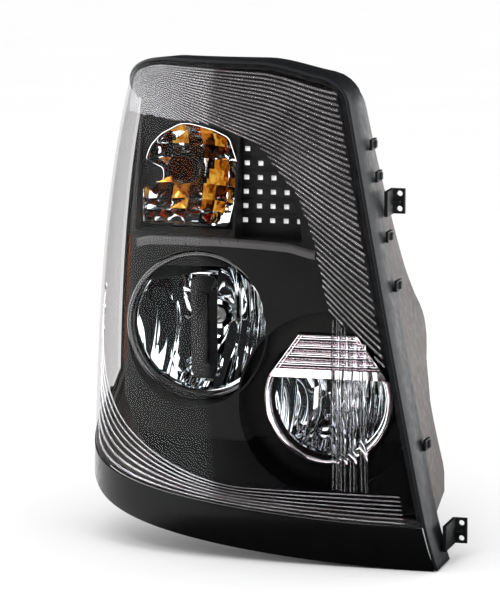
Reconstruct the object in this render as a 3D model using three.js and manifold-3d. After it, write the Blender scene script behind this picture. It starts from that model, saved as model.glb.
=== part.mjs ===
// Right-hand headlight assembly for a heavy truck, in millimetres with +Z up.
// +X points inboard, to the grille. +Y points to the rear, so the beams shine along -Y.
import * as THREE from "three";
import { mergeVertices } from "three/addons/utils/BufferGeometryUtils.js";
import Module from "manifold-3d";

const wasm = await Module();
wasm.setup();

// Driving dimensions of the lens surface. Heights are above the foot of the lower skirt.
const LENS_LOW = 53;
const LENS_HIGH = 521;
const LENS_WALL = 3;
const LENS_LEAN = 100;
const LENS_CROWN = 16;
const LENS_FALL = 50;
const LENS_CORNER_RADIUS = 22;
const INBOARD_X = 171;
const INBOARD_SLOPE = 0.2455;
const OUTBOARD_X = -243;
const OUTBOARD_TAPER = 30;
const WRAP_LOW = 240;
const WRAP_HIGH = 170;
const WRAP_POWER = 3.6;
const EDGE_RISE = 115;
const SKIRT_LOW = 5;
const SKIRT_RISE = 158;
const SKIRT_END = 0.93;
const SKIRT_TUCK = 800;
const SKIRT_LIP = 42;

// Bezel, frame and housing.
const BEZEL_GAP = 16;
const BEZEL_WALL = 2.5;
const BEZEL_LEFT = -183;
const BEZEL_BACK = 228;
const FRAME_WALL = 3.5;
const FRAME_DEEP = 60;
const FRAME_SHALLOW = 16;
const HOUSING_WALL = 3;
const HOUSING_BACK = 246;
const HOUSING_CENTRE = new THREE.Vector3(-50, 0, 285);

// Lamps: x and z of each optical axis, and y of each reflector rim.
const LOW = {
  name: "low_beam", x: -102, z: 249, rimY: 100, rimR: 73, depth: 72,
  ringIn: 76.5, ringOut: 83.6, ringY: 87, boreR: 85, floorIn: 85, dishR: 85, floorY: 96,
  postSpan: 72, pivotY: 150, capR: 60, screwDrop: 70, nutY: 146,
};
const HIGH = {
  name: "high_beam", x: 53, z: 177.5, rimY: 68, rimR: 62, depth: 56,
  ringIn: 65.5, ringOut: 72.6, ringY: 52, boreR: 74, floorIn: 74, dishR: 97, floorY: 62,
  postSpan: 64, pivotY: 105, capR: 54, screwDrop: 64, nutY: 98,
};
const TURN = { x: -141, z: 414, bulbR: 13.2, bulbY: 152, backY: 186, holeR: 15.5 };
const SIDE = { x: -211, z: 285 };
const GRID = {
  left: -59, right: 19, low: 347, high: 462, plateY: 109, mirrorY: 118,
  firstX: -55, firstZ: 365.5, pitchX: 15.4, pitchZ: 15.8, lean: 0.5, hole: 5.6,
};
const GRID_ROWS = [5, 4, 4, 3, 2, 1];
const VISOR = { low: 202, high: 250, lowHalf: 66, highHalf: 33, ribs: 5 };

// Reflector mechanism: radii of the bulb hole, pivot pins, their bores, the screws and the nuts.
const BULB_HOLE = 11.5;
const PIN_RADIUS = 2.9;
const EAR_BORE = 3.9;
const POST_BORE = 3.3;
const SCREW_RADIUS = 2.9;
const SCREW_HEAD = 6.8;
const NUT_OUTER = 5.2;
const NUT_BORE = 3.9;
const BEAM_TAIL = 11;

// Rear fittings. Each cap closes over a neck of the housing.
const NECK_INSET = 4;
const CAP = { front: 250, seat: 260.6, chamfer: 262, back: 264, gripBack: 275, wall: 2.8, gripInset: 14 };
const VENTS = [[8, 398], [-112, 140]];
const CONNECTOR = { x: -28, z: 340, wide: 40, high: 26, deep: 26, wall: 3, blades: 3 };
const CLIP_HEIGHTS = [450, 416, 352, 300, 132];
const BIG_ROUND = 24;

// Where the lamp is fastened: the rear face of the upper inboard bracket is the part's origin.
const UPPER_PAD = new THREE.Vector3(106, 166, 385);
const LOWER_PAD = new THREE.Vector3(194.4, 92, 34);

const finishes = {
  clear: finish(0xe8edf2, 0.05, 0, 0.3),
  smoked: finish(0x2b2b2e, 0.6, 0),
  black: finish(0x222428, 0.35, 0),
  taupe: finish(0x6c6461, 0.6, 0),
  chrome: finish(0xd8dadc, 0.08, 1),
  amber: finish(0xe88a1c, 0.15, 0),
  glass: finish(0xdfe6ea, 0.05, 0, 0.5),
  rubber: finish(0x18181a, 0.8, 0),
  steel: finish(0x9aa0a4, 0.35, 1),
  nylon: finish(0xcfc9b8, 0.5, 0),
  darkPlastic: finish(0x2f3033, 0.5, 0),
};

function finish(color, roughness, metalness, opacity = 1) {
  return new THREE.MeshStandardMaterial({
    color, roughness, metalness, opacity, transparent: opacity < 1,
  });
}

// ---- solids ----

function solid(geometry) {
  const bare = geometry.index ? geometry.toNonIndexed() : geometry.clone();
  bare.deleteAttribute("normal");
  bare.deleteAttribute("uv");
  const merged = mergeVertices(bare, 1e-3);
  const triVerts = withoutSlivers(Array.from(merged.index.array));
  const vertProperties = merged.attributes.position.array;
  if (signedVolume(vertProperties, triVerts) < 0) triVerts.reverse();
  const mesh = new wasm.Mesh({ numProp: 3, vertProperties, triVerts: new Uint32Array(triVerts) });
  return new wasm.Manifold(mesh);
}

// Drops the triangles that merging has closed up, such as those at the pole of a lathe.
function withoutSlivers(index) {
  const kept = [];
  for (let i = 0; i < index.length; i += 3) {
    const [a, b, c] = index.slice(i, i + 3);
    if (a !== b && b !== c && c !== a) kept.push(a, b, c);
  }
  return kept;
}

function signedVolume(positions, index) {
  const corner = (i) => new THREE.Vector3().fromArray(positions, 3 * i);
  let total = 0;
  for (let i = 0; i < index.length; i += 3) {
    const side = corner(index[i + 1]).cross(corner(index[i + 2]));
    total += corner(index[i]).dot(side);
  }
  return total;
}

function join(...pieces) {
  return pieces.reduce((whole, piece) => whole.add(piece));
}

function cut(whole, ...tools) {
  return tools.reduce((rest, tool) => rest.subtract(tool), whole);
}

const assembly = new THREE.Group();

function add(name, made, material) {
  const from = made.getMesh();
  const geometry = new THREE.BufferGeometry();
  geometry.setAttribute("position", new THREE.BufferAttribute(from.vertProperties, 3));
  geometry.setIndex(new THREE.BufferAttribute(from.triVerts, 1));
  geometry.computeVertexNormals();
  const mesh = new THREE.Mesh(geometry, material);
  mesh.name = name;
  assembly.add(mesh);
}

// A closed sheet between two surfaces that share the parameters us and vs.
function sheet(outer, inner, us, vs) {
  const points = [];
  for (const face of [outer, inner]) {
    for (const u of us) {
      for (const v of vs) points.push(face(u, v));
    }
  }
  const at = (side, i, j) => (side * us.length + i) * vs.length + j;
  const index = [];
  const quad = (a, b, c, d) => index.push(a, b, c, a, c, d);
  const lastI = us.length - 1;
  const lastJ = vs.length - 1;
  for (let i = 0; i < lastI; i++) {
    for (let j = 0; j < lastJ; j++) {
      quad(at(0, i, j), at(0, i + 1, j), at(0, i + 1, j + 1), at(0, i, j + 1));
      quad(at(1, i, j), at(1, i, j + 1), at(1, i + 1, j + 1), at(1, i + 1, j));
    }
    quad(at(0, i, 0), at(1, i, 0), at(1, i + 1, 0), at(0, i + 1, 0));
    quad(at(0, i, lastJ), at(0, i + 1, lastJ), at(1, i + 1, lastJ), at(1, i, lastJ));
  }
  for (let j = 0; j < lastJ; j++) {
    quad(at(0, 0, j), at(0, 0, j + 1), at(1, 0, j + 1), at(1, 0, j));
    quad(at(0, lastI, j), at(1, lastI, j), at(1, lastI, j + 1), at(0, lastI, j + 1));
  }
  return solid(new THREE.BufferGeometry().setFromPoints(points).setIndex(index));
}

// A solid through closed rings of points. It is closed by fans at both ends, or on itself.
function loft(rings, onItself = false) {
  const sides = rings[0].length;
  const points = rings.flat();
  const index = [];
  const bands = onItself ? rings.length : rings.length - 1;
  for (let k = 0; k < bands; k++) {
    const next = (k + 1) % rings.length;
    for (let i = 0; i < sides; i++) {
      const j = (i + 1) % sides;
      const [a, b, c, d] = [k * sides + i, k * sides + j, next * sides + j, next * sides + i];
      index.push(a, b, c, a, c, d);
    }
  }
  if (!onItself) {
    const last = (rings.length - 1) * sides;
    const first = points.push(middle(rings[0])) - 1;
    const end = points.push(middle(rings[rings.length - 1])) - 1;
    for (let i = 0; i < sides; i++) {
      const j = (i + 1) % sides;
      index.push(first, j, i, end, last + i, last + j);
    }
  }
  return solid(new THREE.BufferGeometry().setFromPoints(points).setIndex(index));
}

function middle(ring) {
  const sum = new THREE.Vector3();
  for (const point of ring) sum.add(point);
  return sum.divideScalar(ring.length);
}

// A body turned about the line along Y through (x, z). The profile's points are [radius, y].
function turned(x, z, profile, sides = 24) {
  const points = profile.map(([radius, y]) => new THREE.Vector2(radius, y));
  return solid(new THREE.LatheGeometry(points, sides).translate(x, 0, z));
}

function rod(x, z, radius, y0, y1, sides = 20) {
  const geometry = new THREE.CylinderGeometry(radius, radius, y1 - y0, sides);
  return solid(geometry.translate(x, (y0 + y1) / 2, z));
}

function rodAcross(x0, x1, y, z, radius, sides = 14) {
  const geometry = new THREE.CylinderGeometry(radius, radius, x1 - x0, sides);
  return solid(geometry.rotateZ(Math.PI / 2).translate((x0 + x1) / 2, y, z));
}

function tube(x, z, outer, inner, y0, y1, sides = 24) {
  return turned(x, z, [[inner, y0], [outer, y0], [outer, y1], [inner, y1], [inner, y0]], sides);
}

function box(x0, x1, y0, y1, z0, z1) {
  const geometry = new THREE.BoxGeometry(x1 - x0, y1 - y0, z1 - z0);
  return solid(geometry.translate((x0 + x1) / 2, (y0 + y1) / 2, (z0 + z1) / 2));
}

// A straight prism from y0 to y1 over an outline given as [x, z] points.
function prism(outline, y0, y1) {
  const shape = new THREE.Shape(outline.map(([x, z]) => new THREE.Vector2(x, z)));
  const geometry = new THREE.ExtrudeGeometry(shape, { depth: y1 - y0, bevelEnabled: false });
  return solid(geometry.rotateX(Math.PI / 2).translate(0, y1, 0));
}

function steps(from, to, count) {
  return Array.from({ length: count + 1 }, (_, i) => from + ((to - from) * i) / count);
}

// ---- the lens surface ----
// t runs round the lens, from 0 at the inboard edge to 1 at the rear of the outboard wrap.

const lensShare = (z) => (z - LENS_LOW) / (LENS_HIGH - LENS_LOW);
const inboardEdge = (z) => INBOARD_X - INBOARD_SLOPE * (z - LENS_LOW);
const outboardEdge = (z) => OUTBOARD_X + OUTBOARD_TAPER * (z / LENS_HIGH) ** 4;
const wrapDepth = (z) => WRAP_LOW + (WRAP_HIGH - WRAP_LOW) * lensShare(z);
const lensBottom = (t) => LENS_LOW + EDGE_RISE * t * t;
const skirtBottom = (t) => SKIRT_LOW + SKIRT_RISE * t ** 2.1;

function frontFace(z) {
  const s = lensShare(z);
  return s > 0 ? LENS_LEAN * s ** 1.2 : SKIRT_TUCK * s * s;
}

// The top edge is crowned, turns down round the inboard corner and falls along the wrap.
function lensTop(t) {
  const smooth = THREE.MathUtils.smoothstep;
  const away = Math.max(0, 1 - t / 0.051);
  const corner = LENS_CORNER_RADIUS * (1 - Math.sqrt(1 - away * away));
  return LENS_HIGH + LENS_CROWN * smooth(t, 0, 0.22) - LENS_FALL * smooth(t, 0.45, 0.95) - corner;
}

function skinPoint(t, z) {
  const angle = (t * Math.PI) / 2;
  const [s, c] = [Math.sin(angle), Math.cos(angle)];
  const reach = (Math.abs(s) ** WRAP_POWER + Math.abs(c) ** WRAP_POWER) ** (-1 / WRAP_POWER);
  const x = inboardEdge(z) - (inboardEdge(z) - outboardEdge(z)) * s * reach;
  const y = frontFace(z) + wrapDepth(z) * (1 - c * reach);
  return new THREE.Vector3(x, y, z);
}

function inward(t, z) {
  const along = skinPoint(t + 0.001, z).sub(skinPoint(t - 0.001, z));
  const up = skinPoint(t, z + 1).sub(skinPoint(t, z - 1));
  return along.cross(up).normalize();
}

function inside(t, z, depth) {
  return skinPoint(t, z).addScaledVector(inward(t, z), depth);
}

function levelInside(t, z, depth) {
  return skinPoint(t, z).addScaledVector(inward(t, z).setZ(0).normalize(), depth);
}

// y of the lens surface straight in front of a point of the bezel.
function lensY(x, z) {
  const across = (inboardEdge(z) - x) / (inboardEdge(z) - outboardEdge(z));
  const back = (1 - Math.max(across, 0) ** WRAP_POWER) ** (1 / WRAP_POWER);
  return frontFace(z) + wrapDepth(z) * (1 - back);
}

const CORNER_STEPS = [0, 0.004, 0.012, 0.025, 0.051];
const ROUND_STEPS = [...CORNER_STEPS, ...steps(0.1, 1, 18)];
const RIM_STEPS = [0, 0.006, 0.02, 0.051, ...steps(0.1, 1, 12)];

function makeLens() {
  const height = (t, s) => lensBottom(t) + (lensTop(t) - lensBottom(t)) * s;
  const outer = (t, s) => skinPoint(t, height(t, s));
  const inner = (t, s) => inside(t, height(t, s), LENS_WALL);
  add("lens", sheet(outer, inner, ROUND_STEPS, steps(0, 1, 10)), finishes.clear);
}

function makeSkirt() {
  const height = (t, s) => skirtBottom(t) + (lensBottom(t) - 1.5 - skirtBottom(t)) * s;
  const lip = (t) => SKIRT_LIP * (1 - t) + 3;
  const ts = steps(0.001, SKIRT_END, 16);
  const face = sheet(
    (t, s) => inside(t, height(t, s), -0.8),
    (t, s) => inside(t, height(t, s), 2.4),
    ts, steps(0, 1, 3),
  );
  const floor = sheet(
    (t, s) => levelInside(t, skirtBottom(t) + 0.5, 0.8 + s * lip(t)),
    (t, s) => levelInside(t, skirtBottom(t) + 3, 0.8 + s * lip(t)),
    ts, [0, 1],
  );
  add("lower_skirt", join(face, floor), finishes.smoked);
}

// ---- pieces that run round the edge of the lens ----

// Points [t, z] once round the lens edge, starting at the lower inboard corner.
function edgeLoop() {
  const bottom = steps(0, 1, 10).map((t) => [t, lensBottom(t)]);
  const outboard = steps(lensBottom(1), lensTop(1), 5).slice(1, -1).map((z) => [1, z]);
  const top = RIM_STEPS.toReversed().map((t) => [t, lensTop(t)]);
  const inboard = steps(lensTop(0), lensBottom(0), 8).slice(1, -1).map((z) => [0, z]);
  return [...bottom, ...outboard, ...top, ...inboard];
}

// For each point of a path on the lens surface: the point, the way out past the edge,
// and the level way in.
function frames(path, closed) {
  const points = path.map(([t, z]) => skinPoint(t, z));
  return path.map(([t, z], i) => {
    const before = closed ? (i + path.length - 1) % path.length : Math.max(i - 1, 0);
    const after = closed ? (i + 1) % path.length : Math.min(i + 1, path.length - 1);
    const along = points[after].clone().sub(points[before]);
    const into = inward(t, z).setZ(0).normalize();
    const out = along.clone().cross(into).normalize();
    return { t, z, point: points[i], into, out };
  });
}

function offset({ point, into, out }, depth, outwards) {
  return point.clone().addScaledVector(into, depth).addScaledVector(out, outwards);
}

function makeSeal() {
  const rings = frames(edgeLoop(), true).map((frame) => [
    offset(frame, 5, -0.8), offset(frame, 8, -0.8),
    offset(frame, 8, -5.5), offset(frame, 5, -5.5),
  ]);
  add("lens_seal", loft(rings, true), finishes.rubber);
}

// The frame is deep down the inboard side and shallow along the top of the wrap.
const frameDepth = (t) => FRAME_DEEP + (FRAME_SHALLOW - FRAME_DEEP) * Math.min(t / 0.7, 1);

function makeFrontFrame() {
  const top = RIM_STEPS.filter((t) => t < 1).toReversed().map((t) => [t, lensTop(t)]);
  const inboard = steps(lensTop(0), SKIRT_LOW, 14).slice(1).map((z) => [0, z]);
  const rings = frames([...top, ...inboard], false).map((frame) => {
    const depth = frameDepth(frame.t);
    return [
      offset(frame, -0.6, 1), offset(frame, -0.6, 1 + FRAME_WALL),
      offset(frame, depth, 1 + FRAME_WALL), offset(frame, depth, 1),
    ];
  });
  add("front_frame", loft(rings), finishes.black);
}

// y of the rear edge of the housing's side wall, all round.
const INBOARD_BACK = new THREE.SplineCurve(
  [[50, 82], [110, 96], [155, 160], [212, 219], [262, 176], [330, 163], [395, 158], [500, 168]].map(
    ([z, y]) => new THREE.Vector2(z, y),
  ),
);

function sideBack({ t, z, point }) {
  if (t === 0) return INBOARD_BACK.getPoint((z - LENS_LOW) / (lensTop(0) - LENS_LOW)).y;
  if (t === 1) return point.y + 14;
  const onTop = z > 300;
  const least = onTop ? 168 + 40 * t : 82 + 60 * t;
  return Math.max(least, point.y + (onTop ? frameDepth(t) : 22) + 4);
}

// The housing's rings from its rim to its flat back, with every point moved in by a wall.
function housingRings(wall) {
  const start = wall ? -4 : 8.4;
  return [0, 1, 2, 3, 4, 5].map((k) =>
    frames(edgeLoop(), true).map((frame) => {
      const framed = frame.t === 0 || (frame.z > 300 && frame.t < 1);
      const bury = framed ? frameDepth(frame.t) + 1.8 : 9.5;
      if (k === 0) return offset(frame, start, -1.6 - wall);
      if (k === 1) return offset(frame, bury + wall * 1.2, -1.6 - wall);
      if (k === 2) return offset(frame, bury + 0.1 + wall * 1.2, (framed ? 3 : -0.5) - wall);
      const back = sideBack(frame);
      const from = offset(frame, bury, (framed ? 2 : -1) - wall);
      const shrink = [0.985, 0.9, 0.72][k - 3];
      const y = [back, back + 0.75 * (HOUSING_BACK - back), HOUSING_BACK][k - 3] - wall;
      const centred = from.clone().sub(HOUSING_CENTRE).multiplyScalar(shrink);
      return new THREE.Vector3(centred.x + HOUSING_CENTRE.x, y, centred.z + HOUSING_CENTRE.z);
    }),
  );
}

function makeHousing() {
  const outer = loft(housingRings(0));
  const hollow = loft(housingRings(HOUSING_WALL));
  let housing = outer.subtract(hollow);
  const bores = [];
  for (const lamp of [LOW, HIGH]) {
    const neck = lamp.capR - NECK_INSET;
    housing = housing.add(tube(lamp.x, lamp.z, neck, neck - 4, 200, 256, BIG_ROUND));
    bores.push(rod(lamp.x, lamp.z, neck - 4, 150, 280, BIG_ROUND));
    const screwZ = lamp.z - lamp.screwDrop;
    housing = housing.add(rod(lamp.x, screwZ, 8, 226, 252, 12));
    bores.push(rod(lamp.x, screwZ, 4, 200, 280, 10));
    for (const side of [-1, 1]) {
      const postX = lamp.x + side * lamp.postSpan;
      const post = rod(postX, lamp.z, 6, lamp.pivotY - 7, 300, 8);
      housing = housing.add(post.intersect(outer));
      bores.push(rodAcross(postX - 9, postX + 9, lamp.pivotY, lamp.z, POST_BORE, 10));
    }
  }
  housing = housing.add(rod(TURN.x, TURN.z, 21, 236, 250));
  bores.push(rod(TURN.x, TURN.z, 17, 200, 290));
  housing = housing.add(rod(SIDE.x, SIDE.z, 14, 244, 264, 16));
  bores.push(rod(SIDE.x, SIDE.z, 10.5, 200, 290, 16));
  for (const [x, z] of VENTS) {
    housing = housing.add(rod(x, z, 6, 240, 254, 10));
    bores.push(rod(x, z, 3.5, 200, 290, 8));
  }
  bores.push(box(CONNECTOR.x - 12, CONNECTOR.x + 12, 230, 260, CONNECTOR.z - 7, CONNECTOR.z + 7));
  add("rear_housing", cut(housing, ...bores), finishes.taupe);
}

// ---- bezel ----

const bezelY = (x, z) => lensY(x, z) + BEZEL_GAP;
const bezelLow = (u) => lensBottom(0.55 * u) + 10;
const bezelHigh = (u) => lensTop(0.57 * u) - 7 - 17 * u ** 6;

// u runs from 0 at the inboard edge to 1 at the outboard edge, and past 1 round the side wall.
function bezelPoint(u, s, behind) {
  const across = Math.min(u, 1);
  const z = bezelLow(across) + (bezelHigh(across) - bezelLow(across)) * s;
  const right = inboardEdge(z) - 9;
  const x = right + (BEZEL_LEFT - right) * across;
  if (u <= 1) return new THREE.Vector3(x, bezelY(x, z) + behind, z);
  const y = u < 1.1 ? bezelY(x, z) + 4 + behind : BEZEL_BACK - 55 * s ** 6;
  return new THREE.Vector3(x - 4 + behind, y, z);
}

function makeBezel() {
  const us = [...steps(0, 0.6, 4), ...steps(0.68, 1, 6)];
  const rows = steps(0, 1, 9);
  const panel = sheet(
    (u, s) => bezelPoint(u, s, 0),
    (u, s) => bezelPoint(u, s, BEZEL_WALL),
    [...us, 1.05, 1.2], rows,
  );
  const room = sheet(
    (u, s) => bezelPoint(u, s, 0.02),
    (u, s) => bezelPoint(u, s, 0).setY(300),
    us, rows,
  );
  const [low, high] = [LOW, HIGH].map((lamp) => makeDish(lamp).intersect(room));
  const openings = [
    rod(LOW.x, LOW.z, LOW.boreR, 0, LOW.floorY + 0.1, BIG_ROUND),
    rod(HIGH.x, HIGH.z, HIGH.dishR, 0, HIGH.floorY - 0.1, BIG_ROUND),
    prism(turnOutline(0), 0, 200),
    prism(gridOutline(0), 0, 200),
    prism([[-200, 196], [-150, 104], [-150, 0], [-200, 0]], 0, 400),
  ];
  const through = [
    rod(HIGH.x, HIGH.z, HIGH.boreR, 0, 120, BIG_ROUND),
    prism(visorOutline(1.2), 0, 120),
  ];
  const visible = cut(join(cut(panel, ...openings), low, high), ...through);
  const largest = visible.decompose().sort((a, b) => b.volume() - a.volume())[0];
  add("bezel", largest, finishes.smoked);
}

// The wall and floor of the round recess in which a lamp's ring sits.
function makeDish({ x, z, floorIn, dishR, floorY }) {
  const wall = tube(x, z, dishR + 2.5, dishR, 20, floorY + 2.5, BIG_ROUND);
  if (floorIn === dishR) return wall;
  return join(wall, tube(x, z, dishR + 2, floorIn, floorY, floorY + 2.5, BIG_ROUND));
}

function turnOutline(grow) {
  const corners = [[-182, 350], [-182, 470], [-174, 480], [-62, 462], [-62, 356], [-70, 350]];
  const [cx, cz] = [-122, 412];
  return corners.map(([x, z]) => [
    x + Math.sign(x - cx) * grow, z + Math.sign(z - cz) * grow,
  ]);
}

// The grid's inboard side follows the sweep of the lens flutes.
function gridOutline(grow) {
  return [
    [GRID.left - grow, GRID.low - grow], [GRID.right + grow, GRID.low - grow],
    [GRID.right - 6 + grow, 378], [GRID.right - 22 + grow, 412], [GRID.right - 46 + grow, 446],
    [GRID.left + 10 + grow, GRID.high + grow], [GRID.left - grow, GRID.high + grow],
  ];
}

function visorOutline(grow) {
  const { low, high, lowHalf, highHalf } = VISOR;
  return [
    [HIGH.x - lowHalf - grow, low - grow], [HIGH.x + lowHalf + grow, low - grow],
    [HIGH.x + highHalf + grow, high + grow], [HIGH.x - highHalf - grow, high + grow],
  ];
}

// ---- trim behind the lens ----

function makeGrid() {
  const { plateY, mirrorY, firstX, firstZ, pitchX, pitchZ, lean, hole } = GRID;
  const half = hole / 2;
  let plate = prism(gridOutline(2), plateY, plateY + 3);
  GRID_ROWS.forEach((count, row) => {
    for (let column = 0; column < count; column++) {
      const x = firstX + pitchX * column + lean * row;
      const z = firstZ + pitchZ * row;
      plate = plate.subtract(box(x - half, x + half, plateY - 2, plateY + 5, z - half, z + half));
    }
  });
  add("marker_grid", plate, finishes.smoked);
  add("marker_mirror", prism(gridOutline(1), mirrorY, mirrorY + 2), finishes.chrome);
}

function makeSideReflex() {
  const z = (s) => 205 + 140 * s;
  const face = (s) => bezelY(BEZEL_LEFT, z(s)) + 6;
  const made = sheet(
    (y, s) => new THREE.Vector3(BEZEL_LEFT - 9.5, face(s) + y, z(s)),
    (y, s) => new THREE.Vector3(BEZEL_LEFT - 4.6, face(s) + y, z(s)),
    [0, 56], steps(0, 1, 6),
  );
  add("side_reflex", made, finishes.amber);
}

function makeVisor() {
  const { low, high, lowHalf, highHalf, ribs } = VISOR;
  const rise = (high - low) / ribs;
  const front = HIGH.ringY - 6;
  let visor = prism(visorOutline(0), HIGH.ringY + 5, HIGH.ringY + 7.5);
  for (let i = 0; i < ribs; i++) {
    const z = low + rise * (i + 0.5);
    const half = lowHalf + ((highHalf - lowHalf) * (i + 1)) / ribs;
    const rib = solid(new THREE.CylinderGeometry(rise * 0.36, rise * 0.36, 2 * half - 2, 10)
      .rotateZ(Math.PI / 2).translate(HIGH.x, front + 10.5, z));
    visor = visor.add(rib);
  }
  add("high_beam_visor", visor, finishes.chrome);
}

function makeRing({ name, x, z, ringIn, ringOut, ringY }) {
  const profile = [
    [ringIn, ringY + 9], [ringIn, ringY + 5], [ringIn + 2, ringY], [ringOut - 2.4, ringY],
    [ringOut, ringY + 3], [ringOut, ringY + 9], [ringIn, ringY + 9],
  ];
  let ring = turned(x, z, profile, BIG_ROUND);
  if (name === HIGH.name) ring = ring.subtract(box(-60, 180, 0, 120, VISOR.low - 0.6, 320));
  add(name + "_ring", ring, finishes.chrome);
}

// ---- turn signal and side marker ----

function makeTurnSignal() {
  const { x, z, backY, holeR, bulbR, bulbY } = TURN;
  const sides = 24;
  const rim = new THREE.Path(turnOutline(-2.8).map(([px, pz]) => new THREE.Vector2(px, pz)));
  rim.closePath();
  const spaced = rim.getSpacedPoints(sides).slice(0, sides);
  const ring = (share, y, wall) =>
    spaced.map((point) => {
      const away = new THREE.Vector2(point.x - x, point.y - z);
      const bend = Math.atan2(away.y, away.x);
      const reach = away.length() * (1 - share) + holeR * share + wall;
      return new THREE.Vector3(x + Math.cos(bend) * reach, y, z + Math.sin(bend) * reach);
    });
  const shares = [0, 0.12, 0.4, 0.75, 1];
  const depths = [132, 146, 164, 178, backY];
  const front = shares.map((share, i) => ring(share, depths[i], 0));
  const back = shares.map((share, i) => ring(share, depths[i] + (i ? 2.2 : 0), 1.2));
  add("turn_signal_reflector", loft([...front, ...back.toReversed()], true), finishes.chrome);
  const glass = [
    [0, bulbY - 15], [5, bulbY - 14], [9.5, bulbY - 10], [bulbR, bulbY - 2], [bulbR, bulbY + 6],
    [10, bulbY + 14], [9, bulbY + 20], [0, bulbY + 20],
  ];
  add("turn_signal_bulb", turned(x, z, glass, 20), finishes.amber);
  const holder = join(
    rod(x, z, 13.5, bulbY + 20.4, 251, 20),
    rod(x, z, 23, 253, 258, 24),
    rod(x, z, 15.5, 251, 253, 24),
    box(x - 17, x + 17, 257, 270, z - 5, z + 5),
    box(x - 9, x + 9, 257, 277, z - 9, z + 9),
  );
  add("turn_signal_socket", holder, finishes.darkPlastic);
  add("turn_signal_seal", tube(x, z, 20, 16, 250.3, 252.7, 24), finishes.rubber);
}

function makeSideMarker() {
  const { x, z } = SIDE;
  const glass = [[0, 214], [3, 215], [5, 219], [5, 235], [4, 240], [0, 240]];
  add("side_marker_bulb", turned(x, z, glass, 14), finishes.glass);
  const holder = join(
    rod(x, z, 8.5, 240.4, 268, 18),
    rod(x, z, 14, 267, 270.5, 22),
    box(x - 11, x + 11, 270, 279, z - 3, z + 3),
  );
  add("side_marker_socket", holder, finishes.darkPlastic);
  add("side_marker_seal", tube(x, z, 13, 9, 264.3, 266.7, 22), finishes.rubber);
}

// ---- main beams ----

// The bowl's front face is a paraboloid from its rim to the bulb hole.
function bowlProfile({ rimY, rimR, depth }, hole) {
  const bend = (rimR * rimR - hole * hole) / depth;
  const radii = steps(rimR, hole, 5);
  const front = radii.map((r) => [r, rimY + (rimR * rimR - r * r) / bend]);
  const back = radii.map((r) => [r + 1.6, rimY + 2.4 + (rimR * rimR - r * r) / bend]);
  const tail = rimY + depth + BEAM_TAIL;
  return [...front, [hole, tail], [hole + 4, tail], ...back.toReversed(), front[0]];
}

function makeBeam(lamp) {
  makeReflector(lamp);
  makePins(lamp);
  makeBulb(lamp);
  makeAdjuster(lamp);
  makeCap(lamp);
}

// The bowl with an ear for each pivot pin and a foot that holds the adjuster nut.
function makeReflector(lamp) {
  const { name, x, z, postSpan, pivotY, screwDrop, nutY } = lamp;
  const nutZ = z - screwDrop;
  const throat = turned(x, z, throatProfile(lamp, BULB_HOLE), BIG_ROUND);
  const ears = [-1, 1].map((side) => {
    const far = x + side * (postSpan - 9);
    const near = x + side * 30;
    const [left, right] = [Math.min(near, far), Math.max(near, far)];
    const ear = box(left, right, pivotY - 6, pivotY + 6, z - 6, z + 6).subtract(throat);
    return ear.subtract(rodAcross(far - 12, far + 12, pivotY, z, EAR_BORE, 10));
  });
  const foot = box(x - 8, x + 8, nutY - 6, nutY + 6, nutZ - 8, z - 34).subtract(throat);
  const bowl = turned(x, z, bowlProfile(lamp, BULB_HOLE), BIG_ROUND);
  const nutBore = rod(x, nutZ, NUT_OUTER + 0.4, nutY - 20, nutY + 20, 16);
  const bulbBore = rod(x, z, BULB_HOLE + 0.02, 0, 260, BIG_ROUND);
  add(name + "_reflector", cut(join(bowl, ...ears, foot), nutBore, bulbBore), finishes.chrome);
}

function makePins({ name, x, z, postSpan, pivotY }) {
  for (const side of [-1, 1]) {
    const inner = x + side * (postSpan - 15);
    const outer = x + side * (postSpan + 5);
    const label = side < 0 ? "_pivot_pin_outboard" : "_pivot_pin_inboard";
    const [left, right] = [Math.min(inner, outer), Math.max(inner, outer)];
    add(name + label, rodAcross(left, right, pivotY, z, PIN_RADIUS), finishes.steel);
  }
}

function makeBulb({ name, x, z, rimY, depth }) {
  const back = rimY + depth + BEAM_TAIL;
  const glass = [
    [0, back - 55], [4, back - 54], [6.5, back - 51],
    [6.5, back - 23], [5, back - 17], [0, back - 17],
  ];
  add(name + "_bulb", turned(x, z, glass, 16), finishes.glass);
  const base = join(
    rod(x, z, 9.5, back - 16.6, back + 2, 20),
    rod(x, z, 17, back + 0.6, back + 6, 24),
    box(x - 10, x + 10, back + 5, back + 28, z - 22, z + 6),
  );
  add(name + "_bulb_base", base, finishes.darkPlastic);
}

function makeAdjuster({ name, x, z, screwDrop, nutY }) {
  const nutZ = z - screwDrop;
  const nut = tube(x, nutZ, NUT_OUTER, NUT_BORE, nutY - 8, nutY + 8, 16);
  add(name + "_adjuster_nut", nut, finishes.nylon);
  const screw = join(
    rod(x, nutZ, SCREW_RADIUS, nutY - 18, 256, 14),
    rod(x, nutZ, SCREW_HEAD, 253, 263, 6),
  );
  add(name + "_adjuster_screw", screw, finishes.nylon);
}

// The hollow in front of the bowl, which the ears and the foot stay out of.
function throatProfile({ rimY, rimR, depth }, hole) {
  const bend = (rimR * rimR - hole * hole) / depth;
  const radii = steps(rimR, hole, 5);
  const front = radii.map((r) => [r + 0.8, rimY + 1 + (rimR * rimR - r * r) / bend]);
  return [[0, rimY - 20], [rimR + 0.8, rimY - 20], ...front, [0, rimY + depth + 1]];
}

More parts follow.
